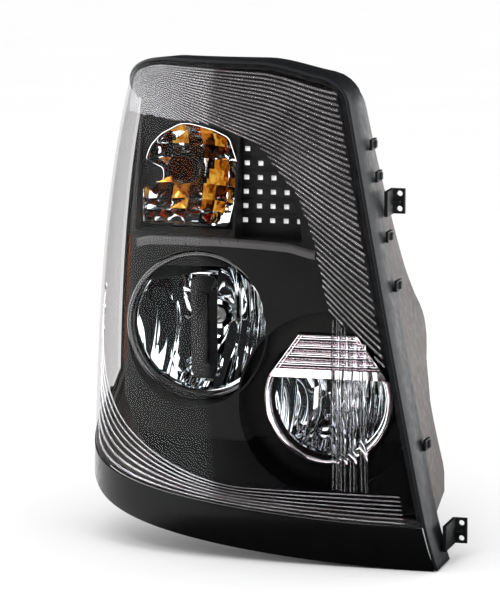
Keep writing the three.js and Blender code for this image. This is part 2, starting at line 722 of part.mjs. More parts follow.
function makeCap({ name, x, z, capR }) {
  const { front, seat, chamfer, back, gripBack, wall, gripInset } = CAP;
  const profile = [
    [0, back], [capR - 2, back], [capR, chamfer], [capR, front],
    [capR - wall, front], [capR - wall, seat], [0, seat],
  ];
  const reach = capR - gripInset;
  const grip = box(x - reach, x + reach, back - 1, gripBack, z - 5, z + 5);
  const knurls = steps(0, 5, 5).map((i) => {
    const angle = (i * Math.PI) / 3 + 0.3;
    return rod(x + Math.cos(angle) * capR, z + Math.sin(angle) * capR, 3, front + 0.5, 261, 6);
  });
  add(name + "_cap", join(turned(x, z, profile, BIG_ROUND), grip, ...knurls), finishes.darkPlastic);
  const neck = capR - NECK_INSET;
  const seal = tube(x, z, neck - 0.6, neck - 3.6, seat - 4.3, seat - 0.3, BIG_ROUND);
  add(name + "_cap_seal", seal, finishes.rubber);
}

// The black shield in front of the low-beam bulb, with a leg at each end.
function makeShield() {
  const { x, z, rimY } = LOW;
  const plate = box(x - 18, x + 18, rimY + 6, rimY + 9, z - 52, z + 52);
  const legs = [-1, 1].map((side) => {
    const [a, b] = [z + side * 46, z + side * 50];
    return box(x - 6, x + 6, rimY + 8, rimY + 35, Math.min(a, b), Math.max(a, b));
  });
  const throat = throatProfile({ ...LOW, rimR: LOW.rimR - 1.4 }, BULB_HOLE);
  const ridge = box(x - 5, x + 5, rimY + 3, rimY + 7, z - 38, z + 38);
  const made = join(plate, ...legs, ridge).intersect(turned(x, z, throat, BIG_ROUND));
  add("low_beam_shield", made, finishes.black);
}

// ---- fastenings and rear fittings ----

function makeConnector() {
  const { x, z, wide, high, deep, wall, blades } = CONNECTOR;
  const [halfWide, halfHigh] = [wide / 2, high / 2];
  const base = HOUSING_BACK + 0.4;
  const block = (grow, y0, y1) =>
    box(x - halfWide - grow, x + halfWide + grow, y0, y1, z - halfHigh - grow, z + halfHigh + grow);
  const shell = block(0, base, base + deep);
  const socket = block(-wall, base + 5, base + deep + 2);
  const collar = block(4, base, base + 3);
  const spigot = box(x - 11, x + 11, base - 8, base + 1, z - 6, z + 6);
  add("wiring_connector", cut(join(shell, collar, spigot), socket), finishes.darkPlastic);
  for (let i = 0; i < blades; i++) {
    const bladeX = x + 10 * (i - 1);
    const blade = box(bladeX - 1, bladeX + 1, base + 5.4, base + 18, z - 1, z + 1);
    add("connector_blade_" + (i + 1), blade, finishes.steel);
  }
}

function makeVents() {
  VENTS.forEach(([x, z], i) => {
    const profile = [
      [0, 262], [8, 261], [10, 258], [10, 246.6], [8.2, 246.6], [8.2, 256], [0, 256],
    ];
    add("breather_cap_" + (i + 1), turned(x, z, profile, 20), finishes.rubber);
  });
}

// An angle bracket whose flat pad faces the rear at (x, y, z), with a screw hole above and below.
function makeBracket(name, { x, y, z }, reach) {
  const pad = box(x - 9.6, x + 7, y - 4, y, z - 14, z + 14);
  const web = box(x - 9.6, x - 5.6, y - reach, y, z - 14, z + 14);
  const holes = [-8.5, 8.5].map((dz) => rod(x + 1, z + dz, 3.2, y - 8, y + 4, 12));
  add(name, cut(join(pad, web), ...holes), finishes.black);
}

function makeClips() {
  CLIP_HEIGHTS.forEach((z, i) => {
    const x = inboardEdge(z - 6) + FRAME_WALL + 1.2;
    const y = frontFace(z) + FRAME_DEEP;
    const body = box(x + 0.4, x + 3.6, y - 12, y + 10, z - 6, z + 6);
    const hook = box(x + 0.4, x + 6.4, y - 3, y + 3, z - 4, z + 4);
    add("frame_clip_" + (i + 1), join(body, hook), finishes.black);
  });
}

makeLens();
makeSkirt();
makeSeal();
makeFrontFrame();
makeHousing();
makeBezel();
makeGrid();
makeSideReflex();
makeVisor();
makeTurnSignal();
makeSideMarker();
for (const lamp of [LOW, HIGH]) {
  makeRing(lamp);
  makeBeam(lamp);
}
makeShield();
makeConnector();
makeVents();
makeBracket("upper_mount_bracket", UPPER_PAD, 34);
makeBracket("lower_mount_bracket", LOWER_PAD, 52);
makeClips();

assembly.position.copy(UPPER_PAD).negate();

export default assembly;
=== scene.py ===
"""Blender looks for a heavy-truck headlight assembly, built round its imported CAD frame.

Shapes are worked out in millimetres in the lamp's design frame: +X inboard, +Y to the rear,
+Z up, with heights above the foot of the lower skirt. place() turns them into the row frame.
"""

import math
import random

import bmesh
import bpy
import numpy as np
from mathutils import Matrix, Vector


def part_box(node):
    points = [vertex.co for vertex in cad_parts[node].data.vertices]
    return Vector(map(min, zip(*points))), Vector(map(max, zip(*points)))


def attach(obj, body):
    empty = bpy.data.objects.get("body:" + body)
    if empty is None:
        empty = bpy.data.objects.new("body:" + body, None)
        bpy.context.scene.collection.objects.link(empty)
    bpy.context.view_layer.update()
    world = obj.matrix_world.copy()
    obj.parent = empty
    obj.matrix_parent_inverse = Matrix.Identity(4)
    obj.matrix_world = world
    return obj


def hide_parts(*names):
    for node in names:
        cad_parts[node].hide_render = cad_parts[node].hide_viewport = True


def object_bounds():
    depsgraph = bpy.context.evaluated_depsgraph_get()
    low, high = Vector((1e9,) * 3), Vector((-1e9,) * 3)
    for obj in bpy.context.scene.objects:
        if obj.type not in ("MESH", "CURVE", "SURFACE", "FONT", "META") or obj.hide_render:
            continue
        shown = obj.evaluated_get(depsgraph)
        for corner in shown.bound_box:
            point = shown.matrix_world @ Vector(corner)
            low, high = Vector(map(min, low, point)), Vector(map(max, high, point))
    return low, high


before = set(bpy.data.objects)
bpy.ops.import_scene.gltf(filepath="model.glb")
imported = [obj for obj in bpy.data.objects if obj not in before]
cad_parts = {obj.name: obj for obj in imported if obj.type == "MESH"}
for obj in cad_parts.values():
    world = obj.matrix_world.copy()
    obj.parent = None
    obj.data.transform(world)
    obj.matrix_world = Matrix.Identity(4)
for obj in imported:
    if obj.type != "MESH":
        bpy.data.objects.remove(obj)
cad_box = [list(corner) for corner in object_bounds()]
scene = bpy.context.scene
scene.view_settings.view_transform = "Standard"
draw = random.Random(7)

MM = 0.001

# The two main beams: optical axis, reflector rim and ring, in design millimetres.
LOW = dict(name="low_beam", x=-102, z=249, rim_y=100, radius=74.5, depth=72, ring_y=87, flat=66)
HIGH = dict(name="high_beam", x=53, z=177.5, rim_y=68, radius=63, depth=56, ring_y=52)
BULB_HOLE = 11.5

# Lens surface.
LENS_LOW, LENS_HIGH = 53, 521
LENS_WALL = 3
LENS_LEAN = 100
LENS_CROWN, LENS_FALL = 16, 50
LENS_CORNER, CORNER_TURN = 22, 0.051
INBOARD_X, INBOARD_SLOPE = 171, 0.2455
OUTBOARD_X, OUTBOARD_TAPER = -243, 30
WRAP_LOW, WRAP_HIGH, WRAP_POWER = 240, 170, 3.6
EDGE_RISE = 115
SKIRT_LOW, SKIRT_RISE, SKIRT_TUCK, SKIRT_END, SKIRT_LIP = 5, 158, 800, 0.93, 42

# Bezel, frame and housing.
BEZEL_GAP, BEZEL_WALL = 16, 2.5
BEZEL_LEFT, BEZEL_BACK = -183, 228
FRAME_WALL, FRAME_DEEP, FRAME_SHALLOW = 3.5, 60, 16
HOUSING_WALL, HOUSING_BACK = 3, 246
HOUSING_CENTRE = np.array([-50.0, 0.0, 285.0])
TURN = dict(x=-141, z=414, bulb_y=152, radius=13.2)
TURN_OUTLINE = [(-182, 350), (-182, 470), (-174, 480), (-62, 462), (-62, 356), (-70, 350)]
GRID_OUTLINE = [(-59, 347), (19, 347), (13, 378), (-3, 412), (-27, 446), (-49, 462), (-59, 462)]
VISOR = dict(low=202, high=250, low_half=66, high_half=33, ribs=5)

ring_low, ring_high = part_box("low_beam_ring")
ORIGIN = np.array([
    (ring_low.x + ring_high.x) / 2 - LOW["x"] * MM,
    ring_low.y - LOW["ring_y"] * MM,
    (ring_low.z + ring_high.z) / 2 - LOW["z"] * MM,
])


def place(points):
    """Design millimetres to row-frame metres."""
    return np.asarray(points, float) * MM + ORIGIN


def span(node):
    """Lowest and highest corner of a CAD node, in design millimetres."""
    return [(np.array(corner) - ORIGIN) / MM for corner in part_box(node)]


def box_outline(x0, x1, z0, z1):
    return [(x0, z0), (x1, z0), (x1, z1), (x0, z1)]


def smoothstep(value, start, end):
    share = np.clip((value - start) / (end - start), 0, 1)
    return share * share * (3 - 2 * share)


def unit(vectors):
    return vectors / np.linalg.norm(vectors, axis=-1, keepdims=True)


# ---- lens surface: t runs from 0 at the inboard edge to 1 at the rear of the outboard wrap ----

def lens_share(z):
    return (z - LENS_LOW) / (LENS_HIGH - LENS_LOW)


def inboard_edge(z):
    return INBOARD_X - INBOARD_SLOPE * (z - LENS_LOW)


def outboard_edge(z):
    return OUTBOARD_X + OUTBOARD_TAPER * (np.abs(z) / LENS_HIGH) ** 4


def wrap_depth(z):
    return WRAP_LOW + (WRAP_HIGH - WRAP_LOW) * lens_share(z)


def lens_bottom(t):
    return LENS_LOW + EDGE_RISE * t * t


def crest(t):
    """The lens's top edge before its inboard corner is rounded."""
    return LENS_HIGH + LENS_CROWN * smoothstep(t, 0, 0.22) - LENS_FALL * smoothstep(t, 0.45, 0.95)


def lens_top(t):
    away = np.maximum(0, 1 - t / CORNER_TURN)
    return crest(t) - LENS_CORNER * (1 - np.sqrt(1 - away * away))


def skirt_bottom(t):
    return SKIRT_LOW + SKIRT_RISE * t ** 2.1


def front_face(z):
    s = lens_share(z)
    return np.where(s > 0, LENS_LEAN * np.maximum(s, 0) ** 1.2, SKIRT_TUCK * s * s)


def skin(t, z):
    """Points of the lens's outer surface."""
    t, z = np.broadcast_arrays(np.asarray(t, float), np.asarray(z, float))
    s, c = np.sin(t * np.pi / 2), np.cos(t * np.pi / 2)
    reach = (np.abs(s) ** WRAP_POWER + np.abs(c) ** WRAP_POWER) ** (-1 / WRAP_POWER)
    x = inboard_edge(z) - (inboard_edge(z) - outboard_edge(z)) * s * reach
    y = front_face(z) + wrap_depth(z) * (1 - c * reach)
    return np.stack([x, y, z], -1)


def inward(t, z, level=False):
    along = skin(t + 0.001, z) - skin(t - 0.001, z)
    up = skin(t, z + 1) - skin(t, z - 1)
    normal = np.cross(along, up)
    if level:
        normal[..., 2] = 0
    return unit(normal)


def inside(t, z, depth, level=False):
    return skin(t, z) + inward(t, z, level) * np.asarray(depth, float)[..., None]


def across_power(x, z):
    across = (inboard_edge(z) - x) / (inboard_edge(z) - outboard_edge(z))
    return np.clip(across, 0, 0.999) ** WRAP_POWER


def turn_at(x, z):
    """The t of the lens straight in front of a point."""
    power = across_power(x, z)
    return np.arctan((power / (1 - power)) ** (1 / WRAP_POWER)) * 2 / np.pi


def lens_y(x, z):
    """The y of the lens straight in front of a point."""
    back = (1 - across_power(x, z)) ** (1 / WRAP_POWER)
    return front_face(z) + wrap_depth(z) * (1 - back)


def bezel_y(x, z):
    return lens_y(x, z) + BEZEL_GAP


# ---- meshes ----

def mesh_object(name, points, faces):
    mesh = bpy.data.meshes.new(name)
    mesh.from_pydata(place(points).tolist(), [], faces)
    mesh.update()
    made = bpy.data.objects.new(name, mesh)
    scene.collection.objects.link(made)
    return made


def outward(made):
    """Turns every face of a closed mesh to point out."""
    work = bmesh.new()
    work.from_mesh(made.data)
    bmesh.ops.recalc_face_normals(work, faces=work.faces)
    work.to_mesh(made.data)
    work.free()
    return made


def grid_faces(rows, columns, first=0):
    corner = first + np.arange(rows - 1)[:, None] * columns + np.arange(columns - 1)
    quads = np.stack([corner, corner + columns, corner + columns + 1, corner + 1], -1)
    return quads.reshape(-1, 4).tolist()


def sheet(name, outer, inner):
    """A closed shell between two grids of points, each shaped (rows, columns, 3)."""
    rows, columns = outer.shape[:2]
    points = np.concatenate([outer.reshape(-1, 3), inner.reshape(-1, 3)])
    half = rows * columns
    faces = grid_faces(rows, columns) + grid_faces(rows, columns, half)
    border = list(range(columns))
    border += [i * columns + columns - 1 for i in range(1, rows)]
    border += [(rows - 1) * columns + j for j in range(columns - 2, -1, -1)]
    border += [i * columns for i in range(rows - 2, 0, -1)]
    faces += [[a, b, b + half, a + half] for a, b in zip(border, border[1:] + border[:1])]
    return outward(mesh_object(name, points, faces))


def ring_faces(rings, sides, first, on_itself):
    """Faces between closed rings, with a cap at each end unless they close on themselves."""
    faces = []
    for k in range(rings if on_itself else rings - 1):
        near, far = first + k * sides, first + (k + 1) % rings * sides
        for i in range(sides):
            j = (i + 1) % sides
            faces.append([near + i, near + j, far + j, far + i])
    if not on_itself:
        faces.append([first + i for i in range(sides)])
        faces.append([first + (rings - 1) * sides + i for i in range(sides)])
    return faces


def lofts(name, bodies, on_itself=False):
    """One object from several stacks of rings, each shaped (rings, sides, 3)."""
    points, faces, first = [], [], 0
    for rings in bodies:
        rings = np.asarray(rings, float)
        points.append(rings.reshape(-1, 3))
        faces += ring_faces(rings.shape[0], rings.shape[1], first, on_itself)
        first += rings.shape[0] * rings.shape[1]
    return outward(mesh_object(name, np.concatenate(points), faces))


def turned(name, x, z, profile, sides=96):
    """A body turned about the line along Y through (x, z), from (radius, y) points.
    The profile closes on itself, or starts and ends on the axis."""
    solid = profile[0][0] < 1e-6
    ring_profile = profile[1:-1] if solid else profile
    angle = np.linspace(0, 2 * np.pi, sides, endpoint=False)
    rings = [
        np.stack([x + r * np.cos(angle), np.full(sides, float(y)), z + r * np.sin(angle)], -1)
        for r, y in ring_profile
    ]
    if not solid:
        return lofts(name, [rings], on_itself=True)
    points = np.concatenate([np.concatenate(rings), [[x, profile[0][1], z], [x, profile[-1][1], z]]])
    faces = ring_faces(len(rings), sides, 0, False)[:-2]
    front, back, last = len(points) - 2, len(points) - 1, (len(rings) - 1) * sides
    for i in range(sides):
        j = (i + 1) % sides
        faces += [[front, i, j], [back, last + j, last + i]]
    return outward(mesh_object(name, points, faces))


def rounded(outline, radius):
    """A 2D outline with each corner replaced by a short curve."""
    made = []
    outline = np.array(outline, float)
    for i, corner in enumerate(outline):
        before = outline[i - 1] - corner
        after = outline[(i + 1) % len(outline)] - corner
        reach = min(radius, np.linalg.norm(before) * 0.45, np.linalg.norm(after) * 0.45)
        a, b = corner + unit(before) * reach, corner + unit(after) * reach
        for share in np.linspace(0, 1, 5):
            point = a * (1 - share) ** 2 + corner * 2 * share * (1 - share) + b * share ** 2
            made.append(tuple(point))
    return made


def extruded(name, outline, y0, y1):
    """A body with one outline of (x, z) corners from y0 to y1."""
    rings = [[(x, y, z) for x, z in outline] for y in (y0, y1)]
    return lofts(name, [rings])


def block(name, low, high):
    (x0, y0, z0), (x1, y1, z1) = low, high
    return extruded(name, box_outline(x0, x1, z0, z1), y0, y1)


def bead(path, radius):
    """Rings of a round bar along a path of points, with its section kept upright."""
    path = np.asarray(path, float)
    along = unit(np.gradient(path, axis=0))
    side = unit(np.cross(along, np.array([0.0, 1.0, 0.0])))
    over = np.cross(side, along)
    angle = np.linspace(0, 2 * np.pi, 8, endpoint=False)
    ring = np.cos(angle)[None, :, None] * side[:, None, :] * radius
    ring = ring + np.sin(angle)[None, :, None] * over[:, None, :] * radius
    return path[:, None, :] + ring


def settle(made):
    """Replaces an object's mesh by what its modifiers make of it."""
    graph = bpy.context.evaluated_depsgraph_get()
    mesh = bpy.data.meshes.new_from_object(made.evaluated_get(graph))
    made.modifiers.clear()
    made.data = mesh
    return made


def cut(made, tool, operation="DIFFERENCE"):
    """Cuts a tool out of an object, or keeps or adds it, and uses the tool up."""
    change = made.modifiers.new("cut", "BOOLEAN")
    change.operation = operation
    change.solver = "MANIFOLD"
    change.object = tool
    settle(made)
    bpy.data.objects.remove(tool)
    return made


def soften(made, width, segments=2, angle=40):
    """Rounds the sharp edges of an object. The width is in millimetres."""
    change = made.modifiers.new("soften", "BEVEL")
    change.width = width * MM
    change.segments = segments
    change.limit_method = "ANGLE"
    change.angle_limit = math.radians(angle)
    return settle(made)


def joined(name, parts):
    """One object from several."""
    work = bmesh.new()
    for part in parts:
        work.from_mesh(part.data)
        bpy.data.objects.remove(part)
    mesh = bpy.data.meshes.new(name)
    work.to_mesh(mesh)
    work.free()
    made = bpy.data.objects.new(name, mesh)
    scene.collection.objects.link(made)
    return made


def add(made, tool):
    return cut(made, tool, "UNION")


def finished(made, body, slot, finish, *replaced, sharp=38):
    """Gives a piece its shading and finish, ties it to its body, and hides the CAD nodes it stands for."""
    made.data.shade_smooth()
    made.data.set_sharp_from_angle(angle=math.radians(sharp))
    made.data.materials.clear()
    made.data.materials.append(finish)
    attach(made, body)
    if replaced:
        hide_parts(*replaced)
    return made


# ---- materials ----

class Nodes:
    """A material or a world under construction, with patterns measured in millimetres."""

    def __init__(self, made):
        made.use_nodes = True
        self.made = made
        self.tree = made.node_tree
        self.tree.nodes.clear()
        self.coordinates = self.node("TexCoord").outputs["Object"]

    def node(self, kind, inputs=None, **settings):
        """A new node, its inputs set to values or linked to other nodes' outputs."""
        made = self.tree.nodes.new("ShaderNode" + kind)
        for name, value in settings.items():
            setattr(made, name, value)
        for name, value in (inputs or {}).items():
            if isinstance(value, bpy.types.NodeSocket):
                self.tree.links.new(value, made.inputs[name])
            else:
                made.inputs[name].default_value = value
        return made

    def first(self, kind, inputs=None, **settings):
        """The first output of a new node."""
        return self.node(kind, inputs, **settings).outputs[0]

    def noise(self, size, detail=3, distortion=0.0):
        inputs = {"Scale": 1 / (size * MM), "Detail": detail, "Distortion": distortion}
        return self.node("TexNoise", {"Vector": self.coordinates, **inputs}).outputs["Fac"]

    def ranged(self, value, low, high, start=0.3, end=0.7, **settings):
        inputs = {"Value": value, "From Min": start, "From Max": end, "To Min": low, "To Max": high}
        return self.node("MapRange", inputs, **settings).outputs["Result"]

    def ramp(self, value, *stops):
        made = self.node("ValToRGB", {"Fac": value})
        elements = made.color_ramp.elements
        elements.remove(elements[1])
        for i, (position, colour) in enumerate(stops):
            stop = elements.new(position) if i else elements[0]
            stop.position = position
            stop.color = (*colour, 1)
        return made.outputs["Color"]

    def bump(self, height, depth, strength=1.0):
        inputs = {"Height": height, "Distance": depth * MM, "Strength": strength}
        return self.node("Bump", inputs).outputs["Normal"]

    def math(self, operation, a, b):
        return self.first("Math", {0: a, 1: b}, operation=operation)

    def mix(self, share, a, b):
        return self.first("MixShader", {0: share, 1: a, 2: b})

    def rays(self, kind):
        return self.node("LightPath").outputs[kind]

    def output(self, shader, kind="OutputMaterial"):
        self.node(kind, {0: shader})
        return self.made

    def principled(self, inputs):
        return self.output(self.first("BsdfPrincipled", inputs))


def new_finish(name):
    return Nodes(bpy.data.materials.new(name))


def shaded(colour, factor):
    return tuple(min(channel * factor, 1) for channel in colour)


def surface(
    name, colour, roughness, grain=0.8, relief=0.02, mottle=0.12, metallic=0.0, coat=0.0, shine=0.5,
):
    """Moulded plastic, rubber or metal: broad colour drift, uneven gloss and a fine grain."""
    finish = new_finish(name)
    shades = (0.3, shaded(colour, 1 - mottle)), (0.7, shaded(colour, 1 + mottle))
    return finish.principled({
        "Base Color": finish.ramp(finish.noise(38, 4, 0.4), *shades),
        "Roughness": finish.ranged(finish.noise(9, 5), roughness * 0.85, min(roughness * 1.2, 1)),
        "Normal": finish.bump(finish.noise(grain, 2), relief),
        "Metallic": metallic, "Specular IOR Level": shine, "Coat Weight": coat, "Coat Roughness": 0.08,
    })


def mirror(name, colour, roughness=0.02):
    """Metallised plastic, a little hazy and not quite flat."""
    finish = new_finish(name)
    return finish.principled({
        "Base Color": finish.ramp(finish.noise(22), (0.35, shaded(colour, 0.94)), (0.65, colour)),
        "Roughness": finish.ranged(finish.noise(12, 6), roughness * 0.6, roughness * 1.6),
        "Normal": finish.bump(finish.noise(7, 1), 0.006),
        "Metallic": 1,
    })


def see_through(name, tint, gloss):
    """A clear moulding: it reflects on the side that faces the ray and lets the rest through."""
    finish = new_finish(name)
    facing = finish.node("LayerWeight", {"Blend": 0.5}).outputs["Facing"]
    shades = (0.2, tint), (0.8, shaded(tint, 0.82))
    clear = finish.first("BsdfTransparent", {"Color": finish.ramp(facing, *shades)})
    rough = finish.ranged(finish.noise(30), 0.01, 0.03)
    shine = finish.first("BsdfGlossy", {"Color": (1, 1, 1, 1), "Roughness": rough})
    outside = finish.math("SUBTRACT", 1, finish.node("NewGeometry").outputs["Backfacing"])
    share = finish.math("MULTIPLY", outside, finish.first("Fresnel", {"IOR": 1.45}))
    return finish.output(finish.mix(finish.math("MULTIPLY", share, gloss), clear, shine))


def lets_light_by(finish, body, tint):
    """Finishes a clear material that bends what is seen through it but casts hardly a shadow."""
    clear = finish.first("BsdfTransparent", {"Color": (*tint, 1)})
    return finish.output(finish.mix(finish.rays("Is Shadow Ray"), body, clear))


def glass(name, tint, ior):
    finish = new_finish(name)
    rough = finish.ranged(finish.noise(15), 0, 0.02)
    body = finish.first("BsdfGlass", {"Color": (*tint, 1), "IOR": ior, "Roughness": rough})
    return lets_light_by(finish, body, tint)


def frosted_glass(name, tint, frost):
    """Clear ribs whose crests catch the light."""
    finish = new_finish(name)
    body = finish.first("BsdfGlass", {"Color": (*tint, 1), "IOR": 1.49, "Roughness": 0})
    crests = finish.first("BsdfDiffuse", {"Color": (0.9, 0.87, 0.88, 1)})
    share = finish.ranged(finish.noise(25), frost * 0.6, frost * 1.4)
    return lets_light_by(finish, finish.mix(share, body, crests), tint)


def painted_bulb_reflection(name, dark, light):
    """A chrome facet with a painted reflection of the amber bulb, in streaks from dark to light, and a
    painted glow from emission in the same colours.
    """
    finish = new_finish(name)
    reflection_streaks = finish.ramp(finish.noise(9, 2, 0.8), (0.4, dark), (0.62, light))
    return finish.principled({
        # The colour is a painted reflection of the bulb; the emission is a painted glow.
        "Base Color": reflection_streaks, "Metallic": 0.6, "Roughness": 0.12,
        "Emission Color": reflection_streaks, "Emission Strength": 0.35,
        "Normal": finish.bump(finish.noise(5, 2), 0.1),
    })


def chrome_with_painted_glow(name, glow):
    """Bright chrome with a painted white glow from its emission, standing in for light gathered from all
    round.
    """
    finish = new_finish(name)
    shades = (0.3, (0.8, 0.8, 0.8)), (0.7, (0.95, 0.95, 0.95))
    return finish.principled({
        "Base Color": finish.ramp(finish.noise(6), *shades),
        "Roughness": finish.ranged(finish.noise(4), 0.1, 0.25),
        "Metallic": 0.4, "Emission Color": (1, 1, 1, 1), "Emission Strength": glow,
    })


def bezel_plastic(name, gloss_height):
    """Dark grey moulded grain that turns to gloss black below a line."""
    finish = new_finish(name)
    up = finish.node("SeparateXYZ", {0: finish.coordinates}).outputs["Z"]
    line = place(np.array([0, 0, gloss_height]))[2]
    lower = finish.ranged(up, 1, 0, line - 2 * MM, line + 2 * MM)
    drift = finish.ramp(finish.noise(60), (0.3, (0.008, 0.008, 0.008)), (0.7, (0.012, 0.012, 0.0115)))
    blend = {"Factor": lower, "A": drift, "B": (0.002, 0.002, 0.0025, 1)}
    colour = finish.node("Mix", blend, data_type="RGBA").outputs["Result"]
    blend = {"Factor": lower, "A": finish.ranged(finish.noise(8, 4), 0.48, 0.6), "B": 0.25}
    rough = finish.node("Mix", blend, data_type="FLOAT").outputs["Result"]
    return finish.principled({
        "Base Color": colour, "Roughness": rough, "Specular IOR Level": 0.1,
        "Normal": finish.bump(finish.noise(0.7, 2), 0.03, 0.6),
    })


clear_polycarbonate = see_through("clear_polycarbonate", (0.97, 0.965, 0.965), 0.12)
fluted_polycarbonate = glass("fluted_polycarbonate", (0.97, 0.97, 0.98), 1.49)
bulb_clear = see_through("bulb_clear", (0.95, 0.95, 0.95), 1.0)
amber_glass = glass("amber_glass", (0.55, 0.15, 0.02), 1.4)
amber_reflex = surface("amber_reflex", (0.13, 0.03, 0.005), 0.16, 2.2, 0.35, 0.2, coat=0.6)
flute_finish = frosted_glass("flute_plastic", (0.95, 0.95, 0.96), 0.08)
# Chrome with the amber bulb's reflection painted on in three shades, each with a painted glow.
bulb_reflection_dark = painted_bulb_reflection("bulb_reflection_dark", (0.015, 0.005, 0.002), (0.12, 0.03, 0.004))
bulb_reflection_orange = painted_bulb_reflection("bulb_reflection_orange", (0.14, 0.03, 0.003), (0.75, 0.24, 0.01))
bulb_reflection_bright = painted_bulb_reflection("bulb_reflection_bright", (0.7, 0.22, 0.01), (1.0, 0.62, 0.09))
# Marker mirrors with a painted glow: a white emission, though they are no lamp.
painted_glow_facets = chrome_with_painted_glow("painted_glow_facets", 0.5)
ring_black = surface("ring_black", (0.004, 0.004, 0.0045), 0.15, 3, 0.01, coat=1.0)
# The ledge is black bezel plastic coloured a lighter grey: a painted sheen where the rounded shelf catches
# the light.
ledge_painted_sheen = surface("ledge_painted_sheen", (0.035, 0.033, 0.034), 0.3, 2, 0.01)
shield_black = surface("shield_black", (0.002, 0.002, 0.002), 0.3, 3, 0.01, coat=0.1, shine=0.2)
chrome = mirror("vacuum_chrome", (0.9, 0.93, 0.95))
warm_chrome = mirror("trim_chrome", (0.93, 0.86, 0.89), 0.05)
bezel_finish = bezel_plastic("bezel_plastic", 134)
gloss_black = surface("gloss_black", (0.005, 0.005, 0.0055), 0.18, 3, 0.01, coat=0.3, shine=0.4)
strip_black = surface("strip_black", (0.007, 0.0075, 0.009), 0.4, 1.2, 0.012, shine=0.14)
skirt_black = surface("skirt_black", (0.0025, 0.0025, 0.0027), 0.32, 1.4, 0.012, shine=0.1)
matte_black = surface("matte_black", (0.004, 0.004, 0.004), 0.5, shine=0.2)
housing_plastic = surface("housing_plastic", (0.085, 0.073, 0.069), 0.52, 1.1, 0.05, 0.1, shine=0.25)
socket_plastic = surface("socket_plastic", (0.012, 0.012, 0.013), 0.42, 0.9, 0.03, shine=0.3)
rubber = surface("rubber", (0.006, 0.006, 0.006), 0.78, 0.7, 0.05, shine=0.2)
steel = surface("plated_steel", (0.52, 0.52, 0.5), 0.3, 0.6, 0.01, 0.08, metallic=1.0)
nylon = surface("nylon", (0.5, 0.47, 0.38), 0.45, 1.0)
tungsten = surface("tungsten", (0.35, 0.33, 0.3), 0.35, 0.4, 0.01, metallic=1.0)


# ---- lens ----

FLUTE_ROWS = 43
FLUTE_PITCH, LEAST_PITCH, PITCH_GROWTH = 2.0, 1.9, 0.0188
FLUTE_WIDTH, FLUTE_HEIGHT = 0.42, 0.12
FLUTE_EDGE = [
    (-200, 478), (-91, 472), (-55, 461), (-34, 451), (13, 399), (34, 351), (54, 280), (95, 246), (130, 212),
]
FOOT_FLUTES = 7
PRISM_FEET = [72.4, 81.5, 91.8, 104.3]
PRISM_HEADS = [64.4, 73.5, 83.4, 93.9]
PRISM_LOW = 88
PRISM_WIDTH, PRISM_HEIGHT = 9.4, 1.6
RIDGE_SECTION = [(-0.5, 0), (-0.34, 0.55), (-0.16, 0.9), (0, 1), (0.16, 0.9), (0.34, 0.55), (0.5, 0)]


def flute_edge(x):
    """Height of the lower limit of the fluted area."""
    return np.interp(x, *zip(*FLUTE_EDGE))


def make_lens():
    corner = [0, 0.002, 0.005, 0.01, 0.018, 0.03, 0.04, 0.051]
    t = np.concatenate([corner, np.linspace(0.06, 1, 110)])[:, None]
    z = lens_bottom(t) + (lens_top(t) - lens_bottom(t)) * np.linspace(0, 1, 60)
    lens = sheet("lens_shell", skin(t, z), inside(t, z, LENS_WALL))
    finished(lens, "lamp_body", "lens", clear_polycarbonate, "lens")


def ridge_up(t, z, width, height):
    """Rings of a level ridge on the inner face of the lens."""
    rings = [inside(t, z + s * width, LENS_WALL + 0.02 + rise * height) for s, rise in RIDGE_SECTION]
    return np.stack(rings, 1)


def ridge_across(x, z, width, height):
    """Rings of an upright ridge on the inner face of the lens."""
    rings = [
        inside(turn_at(x + s * width, z), z, LENS_WALL + 0.02 + rise * height)
        for s, rise in RIDGE_SECTION
    ]
    return np.stack(rings, 1)


def top_flutes():
    ridges = []
    x = np.linspace(-204, 160, 130)
    pitch = np.maximum(LEAST_PITCH, FLUTE_PITCH + PITCH_GROWTH * (x + 160))
    for row in range(FLUTE_ROWS):
        z = LENS_HIGH - pitch * (row + 2)
        for _ in range(4):
            z = crest(turn_at(x, z)) - pitch * (row + 2)
        kept = (z >= flute_edge(x)) & (x <= inboard_edge(z) - 8)
        for run in unbroken_runs(kept):
            width = pitch[run]
            t = turn_at(x, z)[run]
            ridges.append(ridge_up(t, z[run], FLUTE_WIDTH * width, FLUTE_HEIGHT * width))
    return ridges


def unbroken_runs(kept):
    """The runs of at least four neighbours that are kept, as arrays of positions."""
    spots = np.flatnonzero(kept)
    runs = np.split(spots, np.flatnonzero(np.diff(spots) > 1) + 1)
    return [run for run in runs if len(run) >= 4]


def foot_flutes():
    ridges = []
    t = np.linspace(0.03, 0.76, 90)
    x = skin(t, lens_bottom(t))[:, 0]
    away = np.maximum(0, -23 - x)
    top = 85 + 0.0022 * away ** 2 + 40 * (away / 202) ** 12
    for row in range(FOOT_FLUTES):
        share = row / (FOOT_FLUTES - 0.5)
        z = top * (1 - share) + (lens_bottom(t) + 1.5) * share
        gap = (top - lens_bottom(t)) / FOOT_FLUTES
        ridges.append(ridge_up(t, z, 0.3 * gap, 0.25 + 0.08 * gap))
    return ridges


def prisms():
    ridges = []
    for foot, head in zip(PRISM_FEET, PRISM_HEADS):
        end = flute_edge(head) - 2
        z = np.linspace(PRISM_LOW, end, 60)
        x = foot + (head - foot) * (z - 97) / 155
        ridges.append(ridge_across(x, z, PRISM_WIDTH, PRISM_HEIGHT))
    return ridges


def make_optics():
    lines = lofts("lens_flutes", top_flutes() + foot_flutes())
    finished(lines, "lamp_body", "lens", flute_finish, sharp=50)
    upright = lofts("lens_prisms", prisms())
    finished(upright, "lamp_body", "lens", fluted_polycarbonate, sharp=50)


# ---- pieces round the edge of the lens ----

CORNER_STEPS = [0, 0.003, 0.008, 0.018, 0.032, 0.051]


